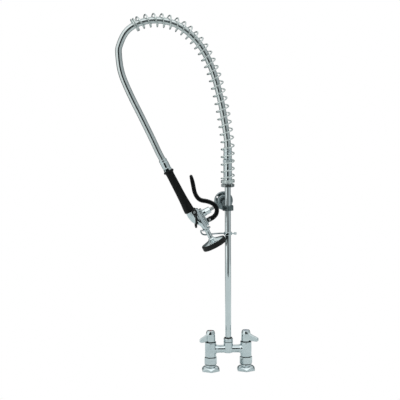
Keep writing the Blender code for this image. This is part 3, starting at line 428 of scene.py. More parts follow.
def hex_nut(name, af, z0, z1, bore, look, matrix=None, phase=0.0, chamfer_top=1.5, chamfer_bottom=1.5, slope=30.0, segments=180, corner=0.35, crown=0.35):
    """A machined hexagon: conical chamfers cut arcs into its corners, edges are slightly broken."""
    tall = math.tan(math.radians(slope))
    corner_r = af / math.sqrt(3)
    rows = []
    reach = corner_r - af / 2 + 0.4
    for k in range(9):
        rows.append(z1 - crown * 0 - chamfer_top * (k / 8) ** 1.2)
    rows = sorted(set([round(z, 4) for z in rows] + [round(z0 + chamfer_bottom * (k / 8) ** 1.2, 4) for k in range(9)] + [round(z0 + (z1 - z0) * t, 4) for t in (0.3, 0.5, 0.7)]), reverse=True)
    outer = [(corner_r, z) for z in rows]

    def radius_at(r, z, angle):
        if r < corner_r - 1e-6:
            return r
        top = af / 2 - 0.35 + (z1 - z) / tall if chamfer_top else 1e9
        low = af / 2 - 0.35 + (z - z0) / tall if chamfer_bottom else 1e9
        return min(hexagon(af, angle - math.radians(phase), corner), top, low)

    inner = [(bore + 0.5, z0), (bore, z0 + 0.5), (bore, z1 - 0.5), (bore + 0.5, z1)]
    verts, faces = spin(outer + inner, segments, radius_at)
    return finish_mesh(name, verts, faces, look, matrix, 24)


# ---------------------------------------------------------------- signed distances and surface nets
def smin(a, b, k):
    h = np.clip(0.5 + 0.5 * (b - a) / k, 0, 1)
    return b * (1 - h) + a * h - k * h * (1 - h)


def smax(a, b, k):
    return -smin(-a, -b, k)


def local(p, matrix):
    """Points in the frame of a rigid matrix."""
    m = np.array(matrix.inverted())
    return p @ m[:3, :3].T + m[:3, 3]


def d_cylinder(p, radius, z0, z1, edge=0.0):
    q0 = np.hypot(p[:, 0], p[:, 1]) - (radius - edge)
    q1 = np.abs(p[:, 2] - (z0 + z1) / 2) - ((z1 - z0) / 2 - edge)
    return np.hypot(np.maximum(q0, 0), np.maximum(q1, 0)) + np.minimum(np.maximum(q0, q1), 0) - edge


def d_box(p, low, high, edge=0.0):
    low, high = np.array(low, float), np.array(high, float)
    q = np.abs(p - (low + high) / 2) - ((high - low) / 2 - edge)
    return np.linalg.norm(np.maximum(q, 0), axis=1) + np.minimum(q.max(axis=1), 0) - edge


def d_polygon(u, v, points):
    """Signed distance in a plane to a closed polygon."""
    pts = np.array(points, float)
    best = np.full(u.shape, 1e18)
    inside = np.zeros(u.shape, bool)
    for (ax, ay), (bx, by) in zip(pts, np.roll(pts, -1, axis=0)):
        ex, ey = bx - ax, by - ay
        wx, wy = u - ax, v - ay
        t = np.clip((wx * ex + wy * ey) / (ex * ex + ey * ey + 1e-30), 0, 1)
        best = np.minimum(best, (wx - ex * t) ** 2 + (wy - ey * t) ** 2)
        crosses = ((ay > v) != (by > v)) & (u < ex * (v - ay) / (ey if ey else 1e-30) + ax)
        inside ^= crosses
    return np.where(inside, -1.0, 1.0) * np.sqrt(best)


def d_turned(p, points):
    """Signed distance to a profile polygon (r, z) turned about Z; the profile may lie on the axis."""
    return d_polygon(np.hypot(p[:, 0], p[:, 1]), p[:, 2], points)


def d_slab(p, outline, half, edge=0.0):
    """A polygon in XZ, half thick along Y, with rounded edges; the polygon is drawn at its full size."""
    flat = d_polygon(p[:, 0], p[:, 2], outline) + edge
    q = np.abs(p[:, 1]) - (half - edge)
    return np.hypot(np.maximum(flat, 0), np.maximum(q, 0)) + np.minimum(np.maximum(flat, q), 0) - edge


def d_path(p, points, radii):
    """Distance to a chain of segments, less a radius that changes along it."""
    best = np.full(len(p), 1e9)
    pts = np.array([tuple(x) for x in points], float)
    for i in range(len(pts) - 1):
        a, b = pts[i], pts[i + 1]
        e = b - a
        w = p - a
        t = np.clip((w @ e) / (e @ e + 1e-30), 0, 1)
        d = np.linalg.norm(w - t[:, None] * e, axis=1) - (radii[i] * (1 - t) + radii[i + 1] * t)
        best = np.minimum(best, d)
    return best


def nets(field, low, high, step):
    """Verts and faces of field = 0 by surface nets, with each vertex then moved onto the surface."""
    low, high = np.array(low, float) - 1.5 * step, np.array(high, float) + 1.5 * step
    axes = [np.arange(low[i], high[i] + step, step) for i in range(3)]
    shape = tuple(len(a) for a in axes)
    grid = np.stack(np.meshgrid(*axes, indexing="ij"), axis=-1).reshape(-1, 3)
    values = np.empty(len(grid))
    for start in range(0, len(grid), 400000):
        values[start:start + 400000] = field(grid[start:start + 400000])
    F = values.reshape(shape)
    F[np.abs(F) < 1e-9] = 1e-9
    S = F < 0
    nx, ny, nz = shape
    inside = np.zeros((nx - 1, ny - 1, nz - 1), int)
    corners = [(i, j, k) for i in (0, 1) for j in (0, 1) for k in (0, 1)]
    for i, j, k in corners:
        inside += S[i:nx - 1 + i, j:ny - 1 + j, k:nz - 1 + k]
    mixed_cells = (inside > 0) & (inside < 8)
    cells = np.argwhere(mixed_cells)
    index = -np.ones(mixed_cells.shape, int)
    index[mixed_cells] = np.arange(len(cells))
    total, count = np.zeros((len(cells), 3)), np.zeros(len(cells))
    for a in corners:
        for axis in range(3):
            if a[axis]:
                continue
            b = list(a)
            b[axis] = 1
            fa = F[cells[:, 0] + a[0], cells[:, 1] + a[1], cells[:, 2] + a[2]]
            fb = F[cells[:, 0] + b[0], cells[:, 1] + b[1], cells[:, 2] + b[2]]
            cross = (fa < 0) != (fb < 0)
            t = np.where(cross, fa / np.where(cross, fa - fb, 1.0), 0.0)
            point = np.array(a, float) + t[:, None] * (np.array(b, float) - np.array(a, float))
            total[cross] += point[cross]
            count[cross] += 1
    verts = low + (cells + total / count[:, None]) * step
    for _ in range(4):
        value = field(verts)
        gradient = np.stack([
            field(verts + np.eye(3)[i] * 0.02) - field(verts - np.eye(3)[i] * 0.02) for i in range(3)
        ], axis=1) / 0.04
        size = (gradient ** 2).sum(axis=1)
        move = (value / np.maximum(size, 0.05))[:, None] * gradient
        length = np.linalg.norm(move, axis=1)
        move *= np.minimum(1.0, 0.6 * step / np.maximum(length, 1e-12))[:, None]
        verts = verts - move
    faces = []
    for axis in range(3):
        a1, a2 = (axis + 1) % 3, (axis + 2) % 3
        first = [slice(None)] * 3
        second = [slice(None)] * 3
        first[axis], second[axis] = slice(0, shape[axis] - 1), slice(1, shape[axis])
        change = S[tuple(first)] != S[tuple(second)]
        spots = np.argwhere(change)
        ok = (spots[:, a1] > 0) & (spots[:, a2] > 0) & (spots[:, a1] < shape[a1] - 1) & (spots[:, a2] < shape[a2] - 1)
        spots = spots[ok]
        offsets = [(0, 0), (-1, 0), (-1, -1), (0, -1)]
        quad = []
        for o1, o2 in offsets:
            c = spots.copy()
            c[:, a1] += o1
            c[:, a2] += o2
            quad.append(index[c[:, 0], c[:, 1], c[:, 2]])
        quad = np.stack(quad, axis=1)
        going_out = S[tuple(spots.T)]
        quad[~going_out] = quad[~going_out][:, ::-1]
        faces.append(quad)
    return verts, np.concatenate(faces)


def implicit(name, field, low, high, step, look, matrix=None, sharp=None):
    verts, faces = nets(field, low, high, step)
    return finish_mesh(name, verts, faces.tolist(), look, matrix, sharp)


# ---------------------------------------------------------------- curves
def smooth_path(points, count):
    points = [Vector(p) for p in points]
    ends = [2 * points[0] - points[1]] + points + [2 * points[-1] - points[-2]]
    dense = []
    for i in range(1, len(ends) - 2):
        a, b, c, d = ends[i - 1], ends[i], ends[i + 1], ends[i + 2]
        for k in range(40):
            u = k / 40
            dense.append(0.5 * ((2 * b) + (c - a) * u + (2 * a - 5 * b + 4 * c - d) * u * u + (3 * b - a - 3 * c + d) * u ** 3))
    dense.append(points[-1])
    for _ in range(60):
        dense = [dense[0]] + [(dense[i - 1] + 2 * dense[i] + dense[i + 1]) / 4 for i in range(1, len(dense) - 1)] + [dense[-1]]
    return resample(dense, count)


def lengths(points):
    total = [0.0]
    for a, b in zip(points, points[1:]):
        total.append(total[-1] + (b - a).length)
    return total


def point_at(points, total, distance):
    distance = min(max(distance, 0.0), total[-1])
    low, high = 0, len(total) - 1
    while high - low > 1:
        mid = (low + high) // 2
        if total[mid] <= distance:
            low = mid
        else:
            high = mid
    length = total[high] - total[low]
    return points[low].lerp(points[high], (distance - total[low]) / length if length else 0.0)


def resample(points, count):
    total = lengths(points)
    return [point_at(points, total, total[-1] * i / (count - 1)) for i in range(count)]


def tube(points, radius_at, sides, cap=True):
    """Verts and faces of a tube. radius_at(i, angle) in millimetres. The frame is carried without twist."""
    pts = np.array([tuple(p) for p in points], float)
    tangent = np.gradient(pts, axis=0)
    tangent /= np.linalg.norm(tangent, axis=1)[:, None]
    side = np.cross(tangent[0], (0.0, 0.0, 1.0))
    if np.linalg.norm(side) < 0.2:
        side = np.array((0.0, -1.0, 0.0))
    side -= tangent[0] * (side @ tangent[0])
    side /= np.linalg.norm(side)
    verts = np.empty((len(pts), sides, 3))
    angles = np.arange(sides) * 2 * math.pi / sides
    for i in range(len(pts)):
        side = side - tangent[i] * (side @ tangent[i])
        side /= np.linalg.norm(side)
        other = np.cross(tangent[i], side)
        r = radius_at(i, angles)
        verts[i] = pts[i] + (np.cos(angles) * r)[:, None] * side + (np.sin(angles) * r)[:, None] * other
    faces = []
    for i in range(len(pts) - 1):
        for k in range(sides):
            m = (k + 1) % sides
            faces.append((i * sides + k, i * sides + m, (i + 1) * sides + m, (i + 1) * sides + k))
    verts = verts.reshape(-1, 3).tolist()
    if cap:
        a, b = len(verts), len(verts) + 1
        verts += [pts[0].tolist(), pts[-1].tolist()]
        last = (len(pts) - 1) * sides
        for k in range(sides):
            m = (k + 1) % sides
            faces.append((a, m, k))
            faces.append((b, last + k, last + m))
    return verts, faces


PIECES = {}


def use(obj, body, *nodes, slot=None):
    """The piece stands for these CAD nodes and moves with that body."""
    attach(obj, body)
    if nodes:
        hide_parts(*nodes)
    PIECES[obj.name] = obj
    return obj


# ---------------------------------------------------------------- hose and overhead spring
valve_down = Vector((math.sin(TILT), 0, -math.cos(TILT)))
ferrule_top = VALVE_AT + valve_down * HAND_FERRULE_TOP
route = HOSE_ROUTE + [tuple(ferrule_top - valve_down * 24), tuple(ferrule_top - valve_down * 8), tuple(ferrule_top + valve_down * 9)]
PATH = smooth_path(route, 600)
RUN = lengths(PATH)
pivot_run = RUN[min(range(len(PATH)), key=lambda i: (PATH[i] - HOSE_PIVOT).length)]
first = next(RUN[i] for i in range(len(PATH)) if PATH[i].z > 620.0)

RIB = 2.9  # pitch of the strip-wound hose
step = RIB / 7.0
count = int((RUN[-1] - first) / step)
hose_line = [point_at(PATH, RUN, first + (RUN[-1] - first) * i / count) for i in range(count + 1)]
# A light smoothing takes out the small corners of the guide line before the ribs are laid on it.
line = np.array([tuple(p) for p in hose_line])
for _ in range(40):
    line[1:-1] = (line[:-2] + 2 * line[1:-1] + line[2:]) / 4


def rib_radius(i, angles):
    """Interlocked strip: each turn has a flat crown and a narrow groove, wound as a helix."""
    phase = (i * step / RIB + angles / (2 * math.pi)) % 1.0
    groove = np.exp(-((phase - 0.5) / 0.09) ** 2)
    crown = 0.012 * np.cos(2 * math.pi * phase)
    return HOSE_R - 0.03 - 0.20 * groove + crown


verts, faces = tube([Vector(p) for p in line], rib_radius, 36)
hose = finish_mesh("hose", verts, faces, HOSE)
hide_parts("hose_upper", "hose_bend", "hose_lower")


# how far the stretched coil's turns stand off an even pitch, against the distance from its foot
EASE = ([0, 40, 108, 150, 209, 253, 297, 339, 402, 455, 501, 542, 585, 640], [0.0, -5.0, -4.5, -3.0, -1.0, 1.5, 3.7, 4.0, 3.0, 0.0, -3.0, -5.0, -6.0, -6.0])


def spring_line(per_turn):
    start = next(RUN[i] for i in range(len(PATH)) if PATH[i].z > SEAT_Z1 + GAP + SPRING_WIRE_R + 0.6)
    stop = next(RUN[i] for i in range(len(PATH)) if PATH[i].x < -264.0)
    close = 2 * SPRING_WIRE_R + 0.9
    turns = round((stop - start - 4 * close) / SPRING_PITCH)
    pitch = (stop - start - 4 * close) / turns
    tangent = [(PATH[min(i + 1, len(PATH) - 1)] - PATH[max(i - 1, 0)]).normalized() for i in range(len(PATH))]
    across = [Vector((0, -1, 0))]
    for i in range(1, len(PATH)):
        turn = tangent[i - 1].rotation_difference(tangent[i])
        across.append((turn @ across[-1]).normalized())
    made = []
    total_turns = turns + 4
    blend_in = 0.5  # of a turn, from the close coils to the open pitch

    def along(u):
        """Distance along the route at u turns: the pitch eases between the close and the open coils."""
        if u <= 2:
            return start + u * close
        if u >= 2 + turns:
            return start + 2 * close + turns * pitch + (u - 2 - turns) * close
        return start + 2 * close + (u - 2) * pitch

    for k in range(int(total_turns * per_turn) + 1):
        u = k / per_turn
        samples = [along(u + blend_in * (j / 8 - 0.5)) for j in range(9)]
        distance = sum(samples) / 9
        distance += float(np.interp(distance - start, EASE[0], EASE[1]))
        distance = min(max(distance, start), along(total_turns))
        i = min(int(distance / RUN[-1] * (len(RUN) - 1)), len(RUN) - 2)
        while RUN[i] > distance and i > 0:
            i -= 1
        while RUN[i + 1] < distance and i < len(RUN) - 2:
            i += 1
        f = (distance - RUN[i]) / (RUN[i + 1] - RUN[i])
        centre = PATH[i].lerp(PATH[i + 1], f)
        direction = tangent[i].lerp(tangent[i + 1], f).normalized()
        side = across[i].lerp(across[i + 1], f)
        side = (side - direction * side.dot(direction)).normalized()
        other = direction.cross(side)
        angle = math.radians(200) + 2 * math.pi * u
        made.append(centre + (side * math.cos(angle) + other * math.sin(angle)) * SPRING_MEAN_R)
    return made


spring_points = spring_line(44)
ends = len(spring_points)


def wire_radius(i, angles):
    reach = min(i, ends - 1 - i)
    return np.full(angles.shape, SPRING_WIRE_R * (0.72 + 0.28 * min(1.0, (reach / 3.0)) ** 0.5))


verts, faces = tube(spring_points, wire_radius, 16)
use(finish_mesh("overhead_spring_wire", verts, faces, WIRE), "overhead", "overhead_spring", slot="spring_steel")

# ---------------------------------------------------------------- base
bridge_profile = [(0, HALF), (13.1, HALF), (12.9, 36.0), (12.0, 33.0), (11.3, 30.0), (11.1, 26.0), (11.1, -26.0), (11.3, -30.0), (12.0, -33.0), (12.9, -36.0), (13.1, -HALF), (0, -HALF)]


def base_field(p):
    left, right_ = p - (-HALF, 0, 0), p - (HALF, 0, 0)
    body = d_cylinder(left, 16.05, 40.6, 84.6, 0.8)
    body = np.minimum(body, d_cylinder(right_, 16.05, 40.6, 84.6, 0.8))
    q = np.stack([-p[:, 2] + 63.3, p[:, 1], p[:, 0]], axis=1)
    bridge = d_turned(q, bridge_profile)
    boss = d_turned(p, [(0, 94.6), (11.9, 94.6), (13.0, 93.9), (13.4, 92.6), (13.4, 58.0), (12.6, 54.6), (9.8, 52.2), (0, 51.8)])
    body = smin(body, bridge, 2.4)
    body = smin(body, boss, 1.8)
    tails = np.minimum(d_cylinder(left, 12.0, 31.0, 46.0, 0.5), d_cylinder(right_, 12.0, 31.0, 46.0, 0.5))
    body = np.minimum(body, tails)
    for centre in (left, right_):
        body = smax(body, -d_cylinder(centre, 10.4, 55.0, 96.0, 0.3), 0.4)
        # a fine groove under the top edge of each barrel
        ring = np.hypot(np.hypot(centre[:, 0], centre[:, 1]) - 16.25, centre[:, 2] - 81.2) - 0.5
        body = smax(body, -ring, 0.35)
    body = smax(body, -d_cylinder(p, 9.2, 71.0, 110.0, 0.3), 0.4)
    return body


use(implicit("base_casting", base_field, (-67.0, -16.25, 31.0), (67.0, 16.25, 94.7), 0.75, BASE), "root", "base_body", slot="chrome_body")

for side, x in (("left", -HALF), ("right", HALF)):
    def flange_field(p):
        bell = d_turned(p, [
            (0, 17.75), (14.6, 17.75), (15.3, 17.2), (15.5, 16.4), (15.5, 13.9), (18.8, 12.9), (21.4, 11.75), (23.4, 10.1), (25.2, 7.7), (26.8, 5.5), (28.3, 3.1), (28.4, 1.0), (27.8, 0.1),
            (0, 0.1),
        ])
        angle = np.arctan2(p[:, 1], p[:, 0])
        r = np.hypot(p[:, 0], p[:, 1])
        sector = (angle + math.pi / 6) % (math.pi / 3) - math.pi / 6
        body = smax(bell, r * np.cos(sector) - 24.65, 0.7)
        nipple = d_cylinder(p, 11.6, 10.0, 27.0, 0.4)
        body = smin(body, nipple, 0.5)
        return smax(body, -d_cylinder(p, 8.2, -10.0, 40.0), 0.5)

    use(implicit(side + "_inlet_bell", flange_field, (-25.0, -28.6, 0.0), (25.0, 28.6, 27.1), 0.7, CAST, at(x, 0, 0)), "root", side + "_inlet_flange", slot="chrome_body")
    use(hex_nut(side + "_union_nut", 32.0, 18.4, 40.3, 12.4, UNION, at(x, 0, 0), phase=41 if side == "left" else 32.4, chamfer_top=2.6, chamfer_bottom=2.2, slope=28), "root", side + "_coupling_nut", slot="chrome_body")

    turn = Matrix.Rotation(math.radians(225 if side == "left" else -45), 4, "Z")

    def handle_field(p):
        hub = d_turned(p, [(0, 117.4), (8.6, 117.45), (10.2, 117.0), (11.2, 115.9), (12.1, 113.0), (12.85, 110.0), (13.2, 107.6), (13.5, 99.0), (13.95, 86.4), (13.5, 85.1), (0, 85.1)])
        # the lever: a web that leaves the hub full and thins towards a rounded tip
        q = p.copy()
        half = np.clip(4.6 - 0.030 * p[:, 0], 3.2, 4.4)
        q[:, 1] = p[:, 1] * 3.5 / half
        blade = d_slab(q, [(0.0, 88.2), (30.0, 88.6), (40.0, 89.2), (43.4, 90.6), (44.8, 93.4), (44.9, 96.8), (43.6, 99.8), (40.6, 101.6), (28.0, 104.4), (18.0, 107.4), (10.0, 111.6), (0.0, 113.6)], 3.5, 1.6)
        body = smin(hub, blade, 3.0)
        body = smax(body, -d_cylinder(p, 10.6, 60.0, 92.0, 0.3), 0.4)
        body = smax(body, -d_cylinder(p, 6.2, 112.6, 130.0), 0.5)
        return body

    use(implicit(side + "_lever", handle_field, (-14.7, -14.7, 85.0), (45.1, 14.7, 117.6), 0.62, HANDLE, at(x, 0, 0, turn)), side + "_handle", side + "_lever_handle", slot="chrome_handle")
    cap = lathe(
        side + "_index_cap",
        [(0, 116.15), (3.0, 116.1), (4.8, 115.95, 0.3), (5.6, 115.6, 0.2), (5.6, 114.9, 0.2), (0, 114.9)],
        HOT if side == "left" else COLD, at(x, 0, 0), 64,
    )
    use(cap, side + "_handle", side + "_index_button", slot="index_hot" if side == "left" else "index_cold")

use(
    lathe("packing_ring", [(11.5, 94.9, 0.3), (11.5, 96.6, 0.8), (10.2, 97.4, 0.5), (8.86, 97.2, 0.3), (8.86, 94.9, 0.2)], SEAL, None, 96),
    "root", "riser_packing", slot="seal_rubber",
)

# ---------------------------------------------------------------- riser and spring body
use(lathe("riser_pipe", [(8.55, 72.0, 0.4), (8.55, 545.0, 0.4), (6.6, 545.0, 0.3), (6.6, 72.0, 0.3)], TUBE, None, 96), "root", "riser_tube", slot="chrome_riser")
use(hex_nut("seat_nut", 33.4, SEAT_Z0, SEAT_Z1, 8.85, SMALL, None, phase=30, chamfer_top=1.6, chamfer_bottom=1.6, slope=24), "root", "spring_seat_nut", slot="spring_steel")
use(
    lathe(
        "spring_stem",
        [
            (11.0, 599.1, 0.4), (11.8, 598.2, 0.4), (11.8, 592.4, 0.2), (11.45, 592.0, 0.2), (11.45, 591.0, 0.2), (11.8, 590.6, 0.2), (11.8, 545.2, 0.3),
            (11.4, 544.4, 0.3), (11.4, 540.1, 0.3), (8.9, 540.1), (8.9, 546.0), (7.0, 546.0), (7.0, 590.0), (9.6, 590.0), (9.6, 599.1),
        ],
        CHROME, None, 96,
    ),
    "root", "spring_body", slot="chrome_body",
)
use(hex_nut("hose_union", 24.4, 599.5, 608.8, 7.2, CHROME, None, phase=38, chamfer_top=1.3, chamfer_bottom=1.0, slope=26), "root", "hose_coupling_nut", slot="chrome_body")
use(
    lathe(
        "hose_top_ferrule",
        [
            (10.9, 642.3, 0.5), (11.7, 641.2, 0.5), (11.7, 637.2, 0.4), (11.1, 636.4, 0.4), (11.1, 634.6, 0.4), (11.7, 633.8, 0.4), (11.7, 629.6, 0.4), (11.1, 628.8, 0.4),
            (11.1, 627.0, 0.4), (11.7, 626.2, 0.4), (11.8, 612.4, 0.5), (10.4, 609.3, 0.4), (6.8, 609.3), (6.8, 593.2), (5.0, 593.2), (5.0, 618.0), (9.5, 618.0), (9.5, 642.0, 0.3),
        ],
        CHROME, None, 96,
    ),
    "overhead", "upper_ferrule", slot="chrome_body",
)

# ---------------------------------------------------------------- wall bracket
WALL = at(0, 0, ROD_Z, ALONG_Y)


def wall_field(p):
    body = d_turned(p, [
        (8.8, 133.0), (12.2, 133.0), (13.2, 134.0), (13.9, 140.0), (14.6, 143.2), (17.6, 145.2), (21.5, 146.2), (24.8, 147.2), (26.8, 148.8), (27.6, 150.6), (27.5, 151.6), (26.8, 151.98),
        (8.8, 151.98),
    ])
    for k in range(3):
        angle = math.radians(90 + 120 * k)
        q = p - (21.5 * math.cos(angle), 21.5 * math.sin(angle), 0)
        hole = d_cylinder(q, 2.6, 120.0, 170.0)
        sink = d_turned(q, [(0, 158.0), (0, 145.5), (5.4, 145.0), (2.6, 148.4), (2.6, 158.0)])
        body = smax(body, -np.minimum(hole, sink), 0.3)
    return body


use(implicit("wall_rose", wall_field, (-27.8, -27.8, 132.9), (27.8, 27.8, 152.0), 0.7, WALLMETAL, WALL), "root", "wall_flange", slot="chrome_bracket")
use(lathe("bracket_pipe", [(8.5, 18.3, 0.4), (8.5, 150.0, 0.4), (6.4, 150.0), (6.4, 18.3)], WALLMETAL, WALL, 80), "root", "bracket_rod", slot="chrome_bracket")


def clamp_field(p):
    """A split casting: a hexagon-like block round the riser with a socket for the rod behind it."""
    angle = np.arctan2(p[:, 1], p[:, 0])
    r = np.hypot(p[:, 0], p[:, 1])
    sector = angle % (math.pi / 3) - math.pi / 6
    # flats look towards plus and minus X
    sector = (angle + math.pi / 6) % (math.pi / 3) - math.pi / 6
    flat = smax(r * np.cos(sector) - 15.5, r - 17.2, 1.0)
    body = smax(flat, np.abs(p[:, 2]) - 7.2, 1.4)
    socket = d_box(p, (-9.4, 4, -7.2), (9.4, 17.9, 7.2), 1.2)
    body = smin(body, socket, 1.0)
    body = smax(body, -(r - 8.85), 0.5)
    q = np.stack([p[:, 1], p[:, 2], p[:, 0]], axis=1)
    body = smax(body, -d_cylinder(q, 2.8, 5.0, 30.0), 0.3)
    # the split between its front and back halves
    split = np.maximum(np.abs(p[:, 1]) - 0.45, -(np.abs(p[:, 0]) - 9.0))
    groove = np.maximum(split, -(np.abs(p[:, 0]) - 13.6))
    return smax(body, -groove, 0.3)


use(implicit("riser_clamp", clamp_field, (-15.7, -17.5, -7.3), (15.7, 18.1, 7.3), 0.55, CLAMP, at(0, 0, BRACKET_Z)), "root", "bracket_clamp", slot="dark_clamp")


def socket_screw(name, profile, socket_af, depth, look, matrix, segments=60):
    """A screw whose head has a hexagon socket at its top end."""
    top = profile[0][1]
    verts, faces = spin(
        rounded([(0, top - depth)] + [(socket_af / math.sqrt(3), top - depth), (socket_af / math.sqrt(3), top)] + profile[1:], steps=3), segments,
        lambda r, z, a: min(r, hexagon(socket_af, a)) if abs(r - socket_af / math.sqrt(3)) < 1e-6 else r,
    )
    return finish_mesh(name, verts, faces, look, matrix, 30)


use(
    socket_screw("clamp_set_screw", [(0, 15.0), (2.0, 15.0, 0.2), (2.3, 14.7, 0.1), (2.3, 8.96), (0, 8.96)], 2.4, 1.6, CLAMP, at(0, 0, BRACKET_Z, ALONG_X)),
    "root", "clamp_screw", slot="dark_clamp",
)

# ---------------------------------------------------------------- finger hook
def collar_field(p):
    body = d_turned(p, [(8.85, 4.3), (10.6, 4.3), (11.2, 3.9), (11.4, 3.2), (11.4, -3.2), (11.2, -3.9), (10.6, -4.3), (8.85, -4.3)])
    q = np.stack([p[:, 1], p[:, 2], p[:, 0]], axis=1)
    boss = d_cylinder(q, 3.4, 8.0, 11.9, 0.5)
    body = smin(body, boss, 0.6)
    body = smax(body, -(np.hypot(p[:, 0], p[:, 1]) - 8.85), 0.3)
    return smax(body, -d_cylinder(q, 2.15, 0.0, 30.0), 0.3)


HOOK_ROUTE = [
    (-10.4, -6.0, 398.6), (-16.5, -11.5, 400.4), (-30.0, -20.0, 401.6), (-44.0, -24.2, 401.4), (-58.0, -24.8, 400.0), (-67.5, -27.0, 399.6),
    (-74.8, -30.0, 402.4), (-78.6, -33.2, 408.6), (-78.3, -35.8, 413.4), (-77.3, -36.8, 415.2),
]
use(implicit("hook_ring", collar_field, (-11.5, -11.5, -4.4), (11.95, 11.5, 4.4), 0.45, CHROME, at(0, 0, COLLAR_Z)), "finger_hook", "hook_collar", slot="chrome_body")
hook_line = smooth_path(HOOK_ROUTE, 140)
hook_run = lengths(hook_line)
hook_line = [p for p, d in zip(hook_line, hook_run) if math.hypot(p.x, p.y) > COLLAR_R + 0.32]
hook_count = len(hook_line)


def hook_radius(i, angles):
    reach = (hook_count - 1 - i) / 6.0
    return np.full(angles.shape, 2.1 * math.sqrt(max(0.0, 1 - (1 - min(1.0, reach)) ** 2)) if reach < 1 else 2.1)


verts, faces = tube(hook_line, hook_radius, 28)
use(finish_mesh("hook_wire_bent", verts, faces, HOOKWIRE, None, 50), "finger_hook", "hook_wire", slot="chrome_body")

THUMB = [(0, 24.5), (2.9, 24.5, 0.5), (3.75, 23.7, 0.3), (3.75, 18.9, 0.3), (3.1, 18.0, 0.3), (2.4, 17.5, 0.3), (1.85, 15.6, 0.3), (1.85, 8.96), (0, 8.96)]


def thumb_radius(r, z, angle):
    """Knurling on the knob only."""
    if r > 3.5:
        return r - 0.22 * (0.5 - 0.5 * math.cos(24 * angle)) ** 0.8
    return r


thumb_profile = rounded(THUMB, steps=4)
dense_profile = []
for a, b in zip(thumb_profile, thumb_profile[1:]):
    parts_ = 6 if a[0] > 3.5 and b[0] > 3.5 and abs(a[1] - b[1]) > 1 else 1
    dense_profile += [(a[0] + (b[0] - a[0]) * k / parts_, a[1] + (b[1] - a[1]) * k / parts_) for k in range(parts_)]
dense_profile.append(thumb_profile[-1])
verts, faces = spin(dense_profile, 144, thumb_radius)
use(finish_mesh("thumb_knob", verts, faces, CHROME, at(0, 0, COLLAR_Z, ALONG_X), 35), "thumb_screw", "thumb_screw", slot="chrome_body")

# ---------------------------------------------------------------- hand valve: ferrule, nut, grip
use(
    lathe(
        "hand_ferrule",
        [
            (10.7, -165.4, 0.5), (11.35, -164.4, 0.5), (11.35, -160.2, 0.4), (10.8, -159.4, 0.4), (10.8, -157.6, 0.4), (11.35, -156.8, 0.4), (11.4, -141.0, 0.6), (10.2, -138.4, 0.4),
            (7.0, -138.4), (7.0, -154.5), (9.7, -154.5), (9.7, -165.0, 0.2),
        ],
        CHROME, VALVE, 96,
    ),
    "hand_valve", "lower_ferrule", slot="chrome_body",
)
use(hex_nut("grip_union", 21.0, -138.0, -131.3, 8.1, CHROME, VALVE, phase=40, chamfer_top=0.9, chamfer_bottom=0.9, slope=26), "hand_valve", "grip_nut", slot="chrome_body")

GRIP_PROFILE = [
    (8.1, -0.35), (13.0, -0.35, 0.6), (14.45, -1.6, 0.9), (14.45, -8.0, 2.0), (14.2, -14.0, 3.0), (13.3, -24.0, 4.0), (12.35, -38.0, 6.0), (11.75, -60.0, 6.0), (11.35, -90.0, 5.0),
    (11.05, -118.0, 2.0), (11.8, -124.0, 1.0), (14.55, -125.4, 0.8), (14.65, -128.8, 0.9), (13.2, -130.95, 0.5), (8.1, -130.95),
]
grip_profile = rounded(GRIP_PROFILE, closed=True, steps=5)
dense = []
for a, b in zip(grip_profile, grip_profile[1:] + grip_profile[:1]):
    parts_ = max(1, int(math.hypot(a[0] - b[0], a[1] - b[1]) / 1.5)) if a[0] > 10 and b[0] > 10 else 1
    dense += [(a[0] + (b[0] - a[0]) * k / parts_, a[1] + (b[1] - a[1]) * k / parts_) for k in range(parts_)]


def grip_radius(r, z, angle):
    """Lengthwise moulded flutes that fade out at both ends of the grip."""
    if r < 10.5:
        return r
    fade = min(1.0, max(0.0, (z + 121.0) / 5.0)) * min(1.0, max(0.0, (-20.0 - z) / 8.0))
    wave = 0.5 + 0.5 * math.cos(22 * angle)
    return r - 0.5 * fade * (1 - wave ** 0.45)


verts, faces = spin(dense, 264, grip_radius)
use(finish_mesh("grip_sleeve", verts, faces, GRIP, VALVE, 50), "hand_valve", "grip", slot="black_grip")

# ---------------------------------------------------------------- hand valve: body, bonnet, plunger
BODY_OUTLINE = [
    (-8.2, 0.35), (-9.7, 5.0), (-10.5, 11.0), (-10.5, 18.0), (-9.4, 25.0), (-6.4, 32.0), (-1.6, 38.4), (3.6, 43.6), (6.6, 47.6), (8.4, 52.0), (9.0, 57.0), (9.2, 61.0), (10.4, 61.95),
    (24.0, 61.95), (24.65, 61.0), (24.65, 4.0), (22.6, 0.35),
]


